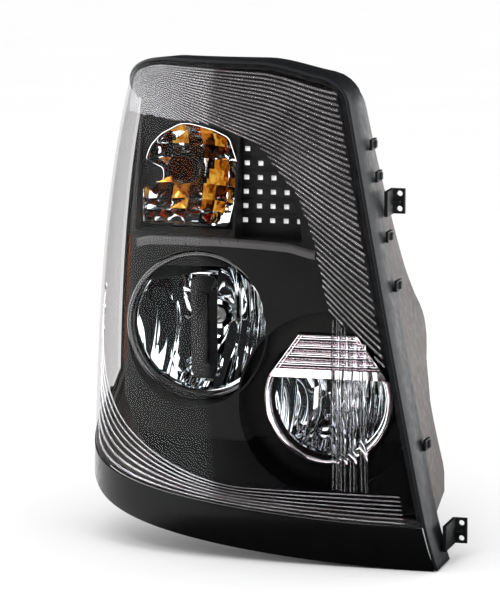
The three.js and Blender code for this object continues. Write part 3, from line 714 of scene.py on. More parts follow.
def edge_loop(bottom, side, top, inboard):
    """(t, z) once round the lens edge from its lower inboard corner, with counts of steps."""
    t_bottom = np.linspace(0, 1, bottom)
    z_side = np.linspace(lens_bottom(1.0), lens_top(1.0), side)[1:-1]
    t_top = np.concatenate([CORNER_STEPS, np.linspace(0.07, 1, top)])[::-1]
    z_in = np.linspace(lens_top(0.0), lens_bottom(0.0), inboard)[1:-1]
    t = np.concatenate([t_bottom, np.ones(len(z_side)), t_top, np.zeros(len(z_in))])
    z = np.concatenate([lens_bottom(t_bottom), z_side, lens_top(t_top), z_in])
    return t, z


def edge_frames(t, z, closed):
    """For each point of a path on the lens: the point, the level way in, and the way out."""
    point = skin(t, z)
    if closed:
        along = np.roll(point, -1, axis=0) - np.roll(point, 1, axis=0)
    else:
        along = np.gradient(point, axis=0)
    into = inward(t, z, level=True)
    return dict(t=t, z=z, point=point, into=into, out=unit(np.cross(along, into)))


def offset(edge, depth, outwards):
    depth = np.broadcast_to(depth, edge["t"].shape)[:, None]
    outwards = np.broadcast_to(outwards, edge["t"].shape)[:, None]
    return edge["point"] + edge["into"] * depth + edge["out"] * outwards


def frame_depth(t):
    return FRAME_DEEP + (FRAME_SHALLOW - FRAME_DEEP) * np.minimum(t / 0.7, 1)


def make_seal():
    edge = edge_frames(*edge_loop(60, 20, 60, 50), True)
    section = [(4, 0.6), (8, 0.6), (8, -2.6), (7.3, -3.2), (8, -3.8), (8, -5.5), (5, -5.5), (5, -0.8)]
    seal = lofts("lens_seal_bead", [np.stack([offset(edge, *corner) for corner in section], 1)], True)
    finished(seal, "lamp_body", "rubber", rubber, "lens_seal")


def make_front_frame():
    t_top = np.concatenate([CORNER_STEPS, np.linspace(0.07, 0.99, 70)])[::-1]
    z_in = np.linspace(lens_top(0.0), SKIRT_LOW, 90)[1:]
    t = np.concatenate([t_top, np.zeros(len(z_in))])
    edge = edge_frames(t, np.concatenate([lens_top(t_top), z_in]), False)
    slim = smoothstep(t, 0.45, 0.8)
    depth = frame_depth(t) * (1 - 0.7 * slim)
    wall = 1 + FRAME_WALL * (1 - 0.55 * slim)
    section = [(-0.6, 1), (-0.6, wall), (depth, wall), (depth, 1)]
    made = lofts("front_frame_moulding", [np.stack([offset(edge, *at) for at in section], 1)])
    soften(made, 0.7)
    finished(made, "lamp_body", "black_gloss", strip_black, "front_frame")


def make_skirt():
    t = np.linspace(0.001, SKIRT_END, 90)[:, None]
    s = np.linspace(0, 1, 16)
    z = skirt_bottom(t) + (lens_bottom(t) - 0.15 - skirt_bottom(t)) * s
    face = sheet("skirt_face", inside(t, z, -0.8), inside(t, z, 2.4))
    reach = 0.8 + np.linspace(0, 1, 3) * (SKIRT_LIP * (1 - t) + 3)
    low = np.broadcast_to(skirt_bottom(t), reach.shape)
    floor = sheet("skirt_floor", inside(t, low + 0.5, reach, True), inside(t, low + 3, reach, True))
    add(face, floor)
    made = soften(face, 0.6, 3, 50)
    made.name = "lower_skirt_moulding"
    finished(made, "lamp_body", "black_matte", skirt_black, "lower_skirt")


# ---- rear housing ----

# y of the inboard side's rear edge, at even steps from the foot of the lens to its top.
SIDE_BACK = np.array([82, 96, 160, 219, 176, 163, 158, 168], float)
SIDE_BACK_LIMIT = 277.5


def side_back(edge):
    """y of the rear edge of the housing's side wall, all round."""
    t, z, y = edge["t"], edge["z"], edge["point"][:, 1]
    share = (z - LENS_LOW) / (lens_top(0.0) - LENS_LOW) * (len(SIDE_BACK) - 1)
    inboard = smooth_lookup(share, SIDE_BACK)
    on_top = z > 300
    least = np.where(on_top, 168 + 40 * t, 82 + 60 * t)
    around = np.maximum(least, y + np.where(on_top, frame_depth(t), 22) + 4)
    return np.minimum(np.where(t == 0, inboard, np.where(t == 1, y + 14, around)), SIDE_BACK_LIMIT)


def smooth_lookup(share, values):
    """A Catmull-Rom curve through evenly spaced values."""
    padded = np.concatenate([values[:1], values, values[-1:]])
    i = np.clip(np.floor(share).astype(int), 0, len(values) - 2)
    f = np.clip(share - i, 0, 1)
    a, b, c, d = (padded[i + k] for k in range(4))
    return b + 0.5 * f * (c - a + f * (2 * a - 5 * b + 4 * c - d + f * (3 * (b - c) + d - a)))


def housing_rings(wall):
    edge = edge_frames(*edge_loop(60, 20, 50, 50), True)
    t, z = edge["t"], edge["z"]
    framed = (t == 0) | ((z > 300) & (t < 1))
    bury = np.where(framed, frame_depth(t) + 1.8, 9.5)
    back = side_back(edge)
    rings = [
        offset(edge, -4 if wall else 8.4, -1.6 - wall),
        offset(edge, bury + wall * 1.2, -1.6 - wall),
        offset(edge, bury + 0.1 + wall * 1.2, np.where(framed, 3, -0.5) - wall),
    ]
    start = offset(edge, bury, np.where(framed, 2, -1) - wall)
    for shrink, rise in ((0.985, 0), (0.95, 0.45), (0.9, 0.75), (0.82, 0.94), (0.72, 1)):
        ring = (start - HOUSING_CENTRE) * shrink + HOUSING_CENTRE
        ring[:, 1] = back + rise * (HOUSING_BACK - back) - wall
        rings.append(ring)
    return np.stack(rings)


def rod(name, x, z, radius, y0, y1, sides=48):
    return turned(name, x, z, [(0, y0), (radius, y0), (radius, y1), (0, y1)], sides)


def tube(name, x, z, outer, inner, y0, y1, sides=72):
    return turned(name, x, z, [(inner, y0), (outer, y0), (outer, y1), (inner, y1)], sides)


def rod_across(name, x0, x1, y, z, radius):
    angle = np.linspace(0, 2 * np.pi, 32, endpoint=False)
    rings = [
        np.stack([np.full(32, x), y + radius * np.cos(angle), z + radius * np.sin(angle)], -1)
        for x in (x0, x1)
    ]
    return lofts(name, [rings])


CAPS = {"low_beam": 60, "high_beam": 54}
NECK_INSET = 4
SCREWS = {"low_beam": (70, 146), "high_beam": (64, 98)}
POSTS = {"low_beam": (72, 150), "high_beam": (64, 105)}
VENTS = [(8, 398), (-112, 140)]
CONNECTOR = dict(x=-28, z=340, wide=40, high=26, deep=26)
SIDE = dict(x=-211, z=285)
REAR_RIBS = [
    (-26, -22, 170, 308), (-6, -2, 244, 322), (22, 26, 250, 372), (-84, -80, 326, 386),
    (-84, 26, 368, 372), (-60, 48, 304, 308), (-26, 46, 250, 254),
]


def make_housing():
    outer = lofts("rear_housing_shell", [housing_rings(0)])
    housing = cut(outer, lofts("hollow", [housing_rings(HOUSING_WALL)]))
    solid = lofts("solid", [housing_rings(0.6)])
    for lamp in (LOW, HIGH):
        x, z, name = lamp["x"], lamp["z"], lamp["name"]
        neck = CAPS[name] - NECK_INSET
        add(housing, tube("neck", x, z, neck, neck - 4, 200, 256, 96))
        add(housing, tube("collar", x, z, neck + 3.4, neck - 2, 244, 248.5, 96))
        cut(housing, rod("bore", x, z, neck - 4, 150, 280, 96))
        screw_z = z - SCREWS[name][0]
        add(housing, rod("boss", x, screw_z, 8, 226, 252))
        cut(housing, rod("bore", x, screw_z, 4, 200, 280))
        reach, pivot_y = POSTS[name]
        for side in (-1, 1):
            post_x = x + side * reach
            post = rod("post", post_x, z, 6, pivot_y - 7, 300, 24)
            twin = solid.copy()
            scene.collection.objects.link(twin)
            add(housing, cut(post, twin, "INTERSECT"))
            cut(housing, rod_across("bore", post_x - 9, post_x + 9, pivot_y, z, 3.3))
    for x, z, wide, y0, y1, hole in (
        (TURN["x"], TURN["z"], 21, 236, 250, 17), (SIDE["x"], SIDE["z"], 14, 244, 264, 10.5),
        (*VENTS[0], 6, 240, 254, 3.5), (*VENTS[1], 6, 240, 254, 3.5),
    ):
        add(housing, rod("boss", x, z, wide, y0, y1, 64))
        cut(housing, rod("bore", x, z, hole, 200, 290, 64))
    for x0, x1, z0, z1 in REAR_RIBS:
        add(housing, block("rib", (x0, HOUSING_BACK - 2, z0), (x1, HOUSING_BACK + 3, z1)))
    c = CONNECTOR
    cut(housing, block("bore", (c["x"] - 12, 230, c["z"] - 7), (c["x"] + 12, 260, c["z"] + 7)))
    bpy.data.objects.remove(solid)
    soften(housing, 0.8, 2, 35)
    finished(housing, "lamp_body", "housing_taupe", housing_plastic, "rear_housing")


# ---- bezel ----

def bezel_low(u):
    return lens_bottom(0.55 * u) + 10


def bezel_high(u):
    return lens_top(0.57 * u) - 7 - 17 * u ** 6


def bezel_point(u, s, behind):
    """u runs from 0 at the inboard edge to 1 at the outboard edge, and past 1 round the side."""
    across = np.minimum(u, 1)
    z = bezel_low(across) + (bezel_high(across) - bezel_low(across)) * s
    right = inboard_edge(z) - 9
    x = right + (BEZEL_LEFT - right) * across
    front = np.stack([x, bezel_y(x, z) + behind, z], -1)
    back = BEZEL_BACK - 55 * s ** 6
    near = bezel_y(x, z) + 4 + behind
    y = near + (back - near) * np.clip((u - 1.04) / 0.16, 0, 1)
    side = np.stack([x - 4 + behind, y, z], -1)
    return np.where((u <= 1)[..., None], front, side)


def middle_of(outline):
    return [sum(values) / len(outline) for values in zip(*outline)]


def grown(outline, amount):
    """An outline of mostly level and upright edges, each corner moved out along both."""
    cx, cz = middle_of(outline)
    return [(x + math.copysign(amount, x - cx), z + math.copysign(amount, z - cz)) for x, z in outline]


def visor_outline(grow):
    low, high = VISOR["low"] - grow, VISOR["high"] + grow
    wide, narrow = VISOR["low_half"] + grow, VISOR["high_half"] + grow
    x = HIGH["x"]
    return [(x - wide, low), (x + wide, low), (x + narrow, high), (x - narrow, high)]


def behind_bezel():
    """All the space behind the bezel's front surface, as a solid."""
    u, s = np.broadcast_arrays(np.linspace(0, 1, 80)[:, None], np.linspace(0, 1, 60)[None, :])
    near = bezel_point(u, s, 0.3)
    far = near.copy()
    far[..., 1] = 300
    return sheet("room", near, far)


def walled(name, outline, thickness, y0, y1):
    outer = extruded(name, grown(outline, thickness), y0, y1)
    return cut(outer, extruded("inner", outline, y0 - 1, y1 + 1))


OPENING_WALL, RECESS_WALL = 1.6, 2.2
LOW_RECESS, HIGH_RECESS, HIGH_MOUTH = 85, 97, 74
HIGH_FLOOR, HIGH_FLOOR_BACK = 62, 64.5
CUT_CORNER = [(-200, 196), (-150, 104), (-150, 0), (-200, 0)]


def make_bezel():
    columns = np.concatenate([np.linspace(0, 1, 130), [1.02, 1.04, 1.08, 1.12, 1.16, 1.2]])
    u, s = np.broadcast_arrays(columns[:, None], np.linspace(0, 1, 120)[None, :])
    bezel = sheet("bezel_panel", bezel_point(u, s, 0), bezel_point(u, s, BEZEL_WALL))
    turn = rounded(TURN_OUTLINE, 5)
    grid = rounded(GRID_OUTLINE, 4)
    for outline in (turn, grid):
        cut(bezel, extruded("opening", outline, 0, 200))
    low, high = (LOW["x"], LOW["z"]), (HIGH["x"], HIGH["z"])
    cut(bezel, rod("opening", *low, LOW_RECESS, 0, 96, 128))
    cut(bezel, rod("opening", *high, HIGH_RECESS, 0, HIGH_FLOOR - 0.1, 128))
    cut(bezel, extruded("opening", CUT_CORNER, 0, 400))
    walls = [
        walled("wall", turn, OPENING_WALL, 20, 134),
        walled("wall", grid, OPENING_WALL, 20, 116),
        tube("wall", *low, LOW_RECESS + RECESS_WALL, LOW_RECESS, 20, 98.5, 128),
        tube("wall", *high, HIGH_RECESS + RECESS_WALL, HIGH_RECESS, 20, HIGH_FLOOR_BACK, 128),
        tube("wall", *high, HIGH_RECESS + 2, HIGH_MOUTH, HIGH_FLOOR, HIGH_FLOOR_BACK, 128),
    ]
    for wall in walls:
        add(bezel, cut(wall, behind_bezel(), "INTERSECT"))
    cut(bezel, rod("opening", *high, HIGH_MOUTH, 0, 120, 128))
    cut(bezel, extruded("opening", visor_outline(1.2), 0, 120))
    cut(bezel, extruded("opening", turn, 90, 200))
    soften(bezel, 0.6, 2, 45)
    finished(bezel, "lamp_body", "bezel_grey", bezel_finish, "bezel")


# ---- marker grid ----

GRID = dict(first_x=-55, first_z=365.5, pitch_x=15.4, pitch_z=15.8, lean=0.5)
GROOVE_LOW, GROOVE_HIGH = 373.2, 455
GRID_ROWS = [5, 4, 4, 3, 2, 1]
TO_CAMERA = unit(np.array([0.2556, -0.954, 0.1564]))
TO_KEY = unit(np.array([-0.15, -0.75, 0.62]))
FACET_UP = unit(TO_CAMERA + TO_KEY)
FACET_HIGH = 8.5


def window_spots():
    for row, count in enumerate(GRID_ROWS):
        for column in range(count):
            x = GRID["first_x"] + GRID["pitch_x"] * column + GRID["lean"] * row
            yield x, GRID["first_z"] + GRID["pitch_z"] * row


def facet(x, y, z, wide, lean):
    """A small pillowed mirror at (x, y, z) that faces half-way between the viewer and the light."""
    normal = unit(FACET_UP + np.array([lean, 0, 0]))
    side = unit(np.cross(np.array([0.0, 0.0, 1.0]), normal))
    up = np.cross(normal, side)
    a, b = np.meshgrid(np.linspace(-1, 1, 9), np.linspace(-1, 1, 9), indexing="ij")
    bulge = 0.35 * (1 - a ** 2) * (1 - b ** 2)
    flat = np.array([x, y, z]) + a[..., None] * side * wide / 2 + b[..., None] * up * FACET_HIGH / 2
    return sheet("facet", flat + bulge[..., None] * normal, flat - 0.8 * normal)


def make_grid():
    plate = extruded("marker_grid_plate", rounded(grown(GRID_OUTLINE, -0.3), 4), 109, 110.6)
    for x, z in window_spots():
        window = rounded(box_outline(x - 3, x + 3, z - 2.7, z + 2.7), 0.8)
        cut(plate, extruded("window", window, 100, 120))
    for z in np.arange(GROOVE_LOW, GROOVE_HIGH, GRID["pitch_z"]):
        cut(plate, block("groove", (-70, 108, z), (30, 109.5, z + 0.8)))
    soften(plate, 0.35, 2, 40)
    finished(plate, "lamp_body", "bezel_grey", matte_black, "marker_grid")
    mirrors = [
        facet(x + 0.4, 113.4, z, 8.5, draw.uniform(-0.03, 0.03)) for x, z in window_spots()
    ]
    # The marker mirrors carry a painted glow.
    finished(joined("marker_facets", mirrors), "lamp_body", "reflector", painted_glow_facets, "marker_mirror")
    row = [
        facet(x + 7, 111.5, 354, 13, draw.uniform(-0.06, 0.06))
        for x in np.arange(GRID["first_x"], 10, GRID["pitch_x"])
    ]
    finished(joined("marker_foot_facets", row), "lamp_body", "reflector", chrome)


# ---- side reflex ----

def make_side_reflex():
    s, y = np.meshgrid(np.linspace(0, 1, 90), np.linspace(0, 56, 70), indexing="ij")
    z = 205 + 140 * s
    front = bezel_y(np.full_like(z, BEZEL_LEFT), z) + 6
    ribs = 0.5 * np.abs(np.sin(np.pi * y / 5))
    outer = np.stack([BEZEL_LEFT - 7.4 - ribs, front + y, z], -1)
    inner = np.stack([np.full_like(z, BEZEL_LEFT - 4.8), front + y, z], -1)
    made = sheet("side_reflex_moulding", outer, inner)
    finished(made, "lamp_body", "amber", amber_reflex, "side_reflex")


# ---- rings and visor ----

def make_rings():
    x, z = LOW["x"], LOW["z"]
    profile = [
        (76.5, 93.8), (76.5, 91), (77.2, 88.4), (78.6, 87), (80, 87), (80.6, 87.8), (81.4, 87.8),
        (82, 87.2), (83, 88.2), (83.6, 90), (83.6, 93.8),
    ]
    low = turned("low_beam_ring_moulding", x, z, profile, 160)
    finished(low, "lamp_body", "black_gloss", ring_black, "low_beam_ring")
    x, z = HIGH["x"], HIGH["z"]
    profile = [
        (65.5, 61), (65.5, 57.5), (66, 54.5), (67, 52.8), (68.2, 52.3), (68.9, 53.8), (69.4, 53.8),
        (70.2, 52.1), (71.4, 52.6), (72.3, 54), (72.6, 56.5), (72.6, 61),
    ]
    high = turned("high_beam_ring_trim", x, z, profile, 160)
    cut(high, block("trim", (-60, 0, VISOR["low"] - 0.6), (180, 120, 320)))
    finished(high, "lamp_body", "chrome_trim", warm_chrome, "high_beam_ring")


def make_visor():
    low, high, ribs = VISOR["low"], VISOR["high"], VISOR["ribs"]
    rise = (high - low) / ribs
    wave = rise * (0.5 - 0.5 * np.cos(np.linspace(0, np.pi, 17)))
    steps = [rise * i + wave for i in range(1, ribs)]
    z = low + np.concatenate([[0, 0.4, rise - 0.4], *steps, [high - low]])
    z = np.maximum.accumulate(z)
    share = ((z - low) / rise) % 1.0
    arch = np.sqrt(np.clip(1 - (2 * share - 1) ** 2, 0, 1))
    lip = z < low + rise - 0.3
    y = HIGH["ring_y"] + np.where(lip, 1.6, 6.6 - 5.0 * arch)
    half = VISOR["low_half"] + (VISOR["high_half"] - VISOR["low_half"]) * (z - low) / (high - low) - 1
    a = np.linspace(-1, 1, 30)
    x = HIGH["x"] + a[None, :] * half[:, None]
    front = np.stack(np.broadcast_arrays(x, y[:, None], z[:, None]), -1)
    back = front.copy()
    back[..., 1] = HIGH["ring_y"] + 8
    visor = sheet("high_beam_visor_ribs", front, back)
    finished(visor, "lamp_body", "chrome_trim", warm_chrome, "high_beam_visor", sharp=30)
    rails = []
    for inset, radius in ((0.6, 0.7), (4.4, 0.55)):
        for side in (-1, 1):
            ends = [(VISOR["low_half"] - inset, low + 1), (VISOR["high_half"] - inset, high - 1)]
            path = np.linspace(0, 1, 14)[:, None]
            (xa, za), (xb, zb) = ends
            rail = np.hstack([
                HIGH["x"] + side * (xa + (xb - xa) * path), np.full_like(path, HIGH["ring_y"] + 1.4),
                za + (zb - za) * path,
            ])
            rails.append(bead(rail, radius))
    edges = lofts("high_beam_visor_rails", rails)
    finished(edges, "lamp_body", "chrome_trim", warm_chrome)


# ---- reflectors ----

STRIPS = {
    "low_beam": [-80, -60, -44, -29, -14, 22, 37, 47, 62, 80],
    "high_beam": [-70, -57, -47, -30, -18, -3, 10, 21, 32, 41, 54, 70],
}
SMOOTH_STRIP = {"low_beam": (-14, 22), "high_beam": (-3, 10)}
UPRIGHT_BEND = 0.75
RIM_BEAD = 0.9


def bowl_y(lamp, dx, dz):
    bend = (lamp["radius"] ** 2 - BULB_HOLE ** 2) / lamp["depth"]
    return lamp["rim_y"] + (lamp["radius"] ** 2 - dx ** 2 - UPRIGHT_BEND * dz ** 2) / bend


def arc(x, z, radius, angles):
    return [(x + radius * math.cos(a), z + radius * math.sin(a)) for a in angles]


def rim_outline(lamp, grow=0.0):
    """The outline of a reflector's mouth: round, and for the low beam flat at the top."""
    x, z, radius = lamp["x"], lamp["z"], lamp["radius"] + grow
    if lamp is HIGH:
        return arc(x, z, radius, np.linspace(0, 2 * np.pi, 120, endpoint=False))
    round_part = arc(x, z, radius, np.radians(np.linspace(36.4, -217.3, 120)))
    flat = lamp["flat"] - 1 + grow
    return round_part + [(x - 45, z + flat), (x + 38, z + flat)]


def scalloped(lamp, behind):
    """The bowl's front face, pillowed strip by strip, as a grid of points."""
    edges = STRIPS[lamp["name"]]
    columns, swell = [], []
    for left, right in zip(edges, edges[1:]):
        a = np.linspace(-1, 1, 9)[:-1]
        columns.append((left + right) / 2 + a * (right - left) / 2)
        smooth = (left, right) == SMOOTH_STRIP[lamp["name"]]
        swell.append((0 if smooth else (right - left) * 0.11) * (1 - a ** 2))
    columns = np.append(np.concatenate(columns), edges[-1])
    swell = np.append(np.concatenate(swell), 0)
    rows = np.linspace(-lamp["radius"] - 4, lamp["radius"] + 4, 90)
    dx, dz = np.meshgrid(columns, rows, indexing="ij")
    y = bowl_y(lamp, dx, dz) - swell[:, None] + behind
    y = np.maximum(y, lamp["rim_y"] - 25)
    return np.stack([lamp["x"] + dx, y, lamp["z"] + dz], -1)


def make_reflector(lamp):
    name, x, z, y = lamp["name"], lamp["x"], lamp["z"], lamp["rim_y"]
    body = name + "_unit"
    bowl = sheet(name + "_reflector_bowl", scalloped(lamp, 0), scalloped(lamp, 2.6))
    cut(bowl, extruded("rim", rim_outline(lamp), y - 40, y + lamp["depth"] + 12), "INTERSECT")
    cut(bowl, block("front", (x - 90, y - 60, z - 90), (x + 90, y, z + 90)))
    tail = y + lamp["depth"] + 11
    add(bowl, tube("tail", x, z, BULB_HOLE + 4, BULB_HOLE, y + lamp["depth"] - 2, tail))
    reach, pivot_y = POSTS[name]
    for side in (-1, 1):
        near, far = sorted((x + side * 30, x + side * (reach - 9)))
        ear = block("ear", (near, pivot_y - 6, z - 6), (far, pivot_y + 6, z + 6))
        cut(ear, bowl_space(lamp))
        add(bowl, ear)
        end = x + side * (reach - 9)
        cut(bowl, rod_across("bore", end - 12, end + 12, pivot_y, z, 3.9))
    drop, nut_y = SCREWS[name]
    foot = block("foot", (x - 8, nut_y - 6, z - drop - 8), (x + 8, nut_y + 6, z - 34))
    cut(foot, bowl_space(lamp))
    add(bowl, foot)
    cut(bowl, rod("bore", x, z - drop, 5.6, nut_y - 20, nut_y + 20))
    cut(bowl, rod("bore", x, z, BULB_HOLE + 0.02, 0, 260, 64))
    finished(bowl, body, "reflector", chrome, name + "_reflector", sharp=24)
    wall = walled(name + "_reflector_wall", rim_outline(lamp, -0.3), 1.3, y + 0.3, y + 26)
    finished(wall, body, "reflector", chrome, sharp=30)
    path = np.array([(px, y - 0.2, pz) for px, pz in rim_outline(lamp, -0.6)])[:, None]
    away = unit((path - [x, 0, z]) * [1, 0, 1])
    angle = np.linspace(0, 2 * np.pi, 8, endpoint=False)[:, None]
    rings = path + RIM_BEAD * (away * np.cos(angle) + np.array([0, 1, 0]) * np.sin(angle))
    rim = lofts(name + "_reflector_rim", [rings], on_itself=True)
    finished(rim, body, "reflector", chrome)


def bowl_space(lamp):
    """The hollow of a bowl, as a solid."""
    profile = [(0, lamp["rim_y"] - 20), (lamp["radius"] + 1, lamp["rim_y"] - 20)]
    for r in np.linspace(lamp["radius"], BULB_HOLE, 24):
        profile.append((r + 0.6, bowl_y(lamp, r, 0) + 1.6))
    profile.append((0, lamp["rim_y"] + lamp["depth"] + 2))
    return turned("space", lamp["x"], lamp["z"], profile)


def make_low_filler():
    """The dark plate between the low beam's ring and the flat top of its reflector."""
    x, z = LOW["x"], LOW["z"]
    top = arc(x, z, 76.3, np.radians(np.linspace(37.5, 141.5, 40)))
    chord = [(x - 45, z + 66.4), (x + 38, z + 66.4)]
    plate = extruded("low_beam_filler", top + chord, 88.6, 91)
    soften(plate, 0.5, 2, 40)
    finished(plate, "lamp_body", "bezel_grey", matte_black)


def make_shield():
    x, z, y = LOW["x"], LOW["z"], LOW["rim_y"]
    outline = [
        (-10, -62), (12, -62), (16, -53), (16, 46), (11, 53), (-9, 53), (-14, 46), (-14, -53),
    ]
    outline = rounded([(x + dx, z + dz) for dx, dz in outline], 3)
    plate = extruded("low_beam_shield_cover", outline, y + 4, y + 7)
    ridge = rounded(box_outline(x - 7, x + 7, z - 44, z + 34), 3)
    add(plate, extruded("ridge", ridge, y - 5, y + 5))
    for near in (-58, 45):
        add(plate, block("leg", (x - 6, y + 6, z + near), (x + 6, y + 16, z + near + 5)))
    soften(plate, 1.1, 3, 40)
    finished(plate, "low_beam_unit", "black_gloss", shield_black, "low_beam_shield")
    ledges = []
    for dz in (56.5, -58):
        ledge = block("ledge", (x - 15, y + 7.5, z + dz - 2.5), (x + 15, y + 18, z + dz + 1))
        ledges.append(soften(ledge, 0.8, 2, 40))
    finished(joined("low_beam_shield_ledges", ledges), "low_beam_unit", "reflector", chrome)


# ---- turn signal ----

CELL_COLUMNS = [-190, -172, -156, -138, -120.5, -104, -87, -60]
CELL_ROWS = [342, 356, 368, 379, 395.6, 423.5, 440, 454.6, 484]
TURN_BOWL = dict(back_y=182, front_y=136.5, bend=0.0085, swell=1.5, tilt=1.6)
BOWL_OUTLINE = [
    (-180, 354), (-180, 396), (-156, 403), (-156, 417), (-177, 425), (-171, 441), (-159, 454),
    (-137, 466), (-125, 466), (-100, 460), (-82, 452), (-73, 425), (-74, 391), (-83, 354),
]


def cell_steps(edges, count):
    """Positions along a row of cells, the cell each is in and its place in the cell, -1 to 1."""
    steps, cells, places = [], [], []
    for i, (near, far) in enumerate(zip(edges, edges[1:])):
        a = np.linspace(-1, 1, count)
        steps.append((near + far) / 2 + a * (far - near) / 2 * 0.985)
        cells.append(np.full(count, i))
        places.append(a)
    return np.concatenate(steps), np.concatenate(cells), np.concatenate(places)


def make_turn_reflector():
    x, column, a = cell_steps(CELL_COLUMNS, 6)
    z, row, b = cell_steps(CELL_ROWS, 6)
    px, pz = np.meshgrid(x, z, indexing="ij")
    bowl, cells = TURN_BOWL, (len(CELL_COLUMNS) - 1, len(CELL_ROWS) - 1, 2)
    tilt = [draw.uniform(-bowl["tilt"], bowl["tilt"]) for _ in range(math.prod(cells))]
    tilt = np.reshape(tilt, cells)
    lean = tilt[column[:, None], row[None, :]]
    away = np.hypot(px - TURN["x"], pz - TURN["z"])
    swell = bowl["swell"] * np.outer(1 - a ** 2, 1 - b ** 2)
    y = bowl["back_y"] - bowl["bend"] * away ** 2 - swell
    y = y + lean[..., 0] * a[:, None] + lean[..., 1] * b[None, :]
    y = np.maximum(y, bowl["front_y"])
    front = np.stack([px, y, pz], -1)
    back = front + np.array([0, 2.5, 0])
    made = sheet("turn_signal_reflector_cells", front, back)
    cut(made, extruded("rim", rounded(BOWL_OUTLINE, 5), 100, 230), "INTERSECT")
    cut(made, rod("bore", TURN["x"], TURN["z"], 15.5, 100, 230))
    finished(made, "lamp_body", "reflector", chrome, "turn_signal_reflector", sharp=22)
    # Facets near the bulb get a painted reflection of the amber bulb and a painted glow.
    for finish in (bulb_reflection_dark, bulb_reflection_orange, bulb_reflection_bright):
        made.data.materials.append(finish)
    paint_bulb_reflection_cells(made)
    rim = walled("turn_signal_rim", rounded(grown_round(BOWL_OUTLINE, 0.4), 5), 0.5, 137, 168)
    finished(rim, "lamp_body", "reflector", chrome, sharp=30)
    collar = turned("turn_signal_bulb_collar", TURN["x"], TURN["z"], [
        (13.9, 164), (15.6, 163), (18.5, 166), (18.5, 170), (13.9, 186),
    ], 72)
    finished(collar, "lamp_body", "black_gloss", gloss_black)


def paint_bulb_reflection_cells(made):
    """Gives each half of each facet near the bulb one of the finishes with a painted reflection of the amber
    bulb.
    """
    for face in made.data.polygons:
        spot = (np.array(face.center) - ORIGIN) / MM
        column = int(np.searchsorted(CELL_COLUMNS, spot[0])) - 1
        row = int(np.searchsorted(CELL_ROWS, spot[2])) - 1
        near = 2 <= column <= 5 and 2 <= row <= 7 or (column == 1 and row in (3, 4))
        if not near or abs(face.normal.y) < 0.3:
            continue
        a = (spot[0] - CELL_COLUMNS[column]) / (CELL_COLUMNS[column + 1] - CELL_COLUMNS[column])
        b = (spot[2] - CELL_ROWS[row]) / (CELL_ROWS[row + 1] - CELL_ROWS[row])
        half = int(a + b > 1) if (column + row) % 2 else int(a > b)
        face.material_index = (column * 7 + row * 5 + half * 3 + column * row) % 4


def grown_round(outline, amount):
    """An outline moved straight out from its middle."""
    cx, cz = middle_of(outline)
    made = []
    for x, z in outline:
        scale = 1 + amount / math.hypot(x - cx, z - cz)
        made.append((cx + (x - cx) * scale, cz + (z - cz) * scale))
    return made


def make_turn_recess():
    """The dark floor of the turn signal's recess, round its reflector."""
    plate = extruded("turn_recess_floor", rounded(grown(TURN_OUTLINE, -0.4), 5), 140, 142)
    cut(plate, extruded("opening", rounded(BOWL_OUTLINE, 5), 100, 200))
    finished(plate, "lamp_body", "bezel_grey", matte_black)


def make_ledge():
    """The rolled lip under the turn signal and the marker grid."""
    x = np.linspace(-178, 34, 90)
    sag = 349 - 0.00045 * (x + 75) ** 2 - 3 * smoothstep(x, -160, -178)
    drop = sag - 4 * smoothstep(x, 0, 34)
    section = [(0, -0.6), (0, -2.6), (-1.5, -3.4), (-4, -3.0), (-7, -1.6), (-9.5, -0.9), (-9.5, -0.4)]
    rings = np.stack([
        np.stack([x, bezel_y(x, drop + dz) + dy, drop + dz], -1) for dz, dy in section
    ], 1)
    lip = lofts("bezel_ledge", [rings])
    # Its lighter grey is a painted sheen.
    finished(lip, "lamp_body", "black_gloss", ledge_painted_sheen, sharp=60)


def make_turn_bulb():
    x, z, y = TURN["x"], TURN["z"], TURN["bulb_y"]
    radius = TURN["radius"]
    dome = [(radius * math.sin(a), y + 1 - 16 * math.cos(a)) for a in np.linspace(0, math.pi / 2, 20)]
    profile = dome + [(radius, y + 6), (12, y + 11), (10, y + 14), (9, y + 20), (0, y + 20)]
    profile[0] = (0, y - 15)
    bulb = turned("turn_signal_bulb_glass", x, z, profile, 72)
    finished(bulb, "turn_signal_unit", "amber", amber_glass, "turn_signal_bulb")


# ---- headlight bulbs ----

def make_bulb(lamp):
    name, x, z = lamp["name"], lamp["x"], lamp["z"]
    back = lamp["rim_y"] + lamp["depth"] + 11
    dome = [(6.5 * math.sin(a), back - 48.5 - 6.5 * math.cos(a)) for a in np.linspace(0, math.pi / 2, 14)]
    inner = [(max(r - 0.8, 0), y + 0.8) for r, y in dome]
    outer = dome + [(6.5, back - 23), (5, back - 17)]
    profile = outer + [(4.2, back - 17)] + [(5.7, back - 23)] + inner[::-1]
    profile[0], profile[-1] = (0.02, back - 55), (0.02, back - 54.2)
    glass_tube = turned(name + "_bulb_envelope", x, z, profile, 48)
    finished(glass_tube, name + "_bulb_unit", "bulb_glass", bulb_clear, name + "_bulb")
    turns = np.linspace(0, 9 * 2 * np.pi, 160)
    coil = np.stack([x + 1.1 * np.cos(turns), back - 40 + turns * 0.16, z + 1.1 * np.sin(turns)], -1)
    posts = [
        [(x + s * 2.4, y, z) for y in np.linspace(back - 42, back - 17.5, 8)] for s in (-1, 1)
    ]
    stage = turned(name + "_bulb_collar", x, z, [
        (0, back - 17.4), (4.5, back - 17.4), (5.5, back - 19), (8.5, back - 19), (9.2, back - 17.8),
        (9.2, back - 16.7), (0, back - 16.7),
    ], 48)
    finished(stage, name + "_bulb_unit", "steel", steel)
    wires = lofts(name + "_filament", [bead(coil, 0.3), bead(posts[0], 0.4), bead(posts[1], 0.4)])
    finished(wires, name + "_bulb_unit", "steel", tungsten)


# ---- rear fittings ----

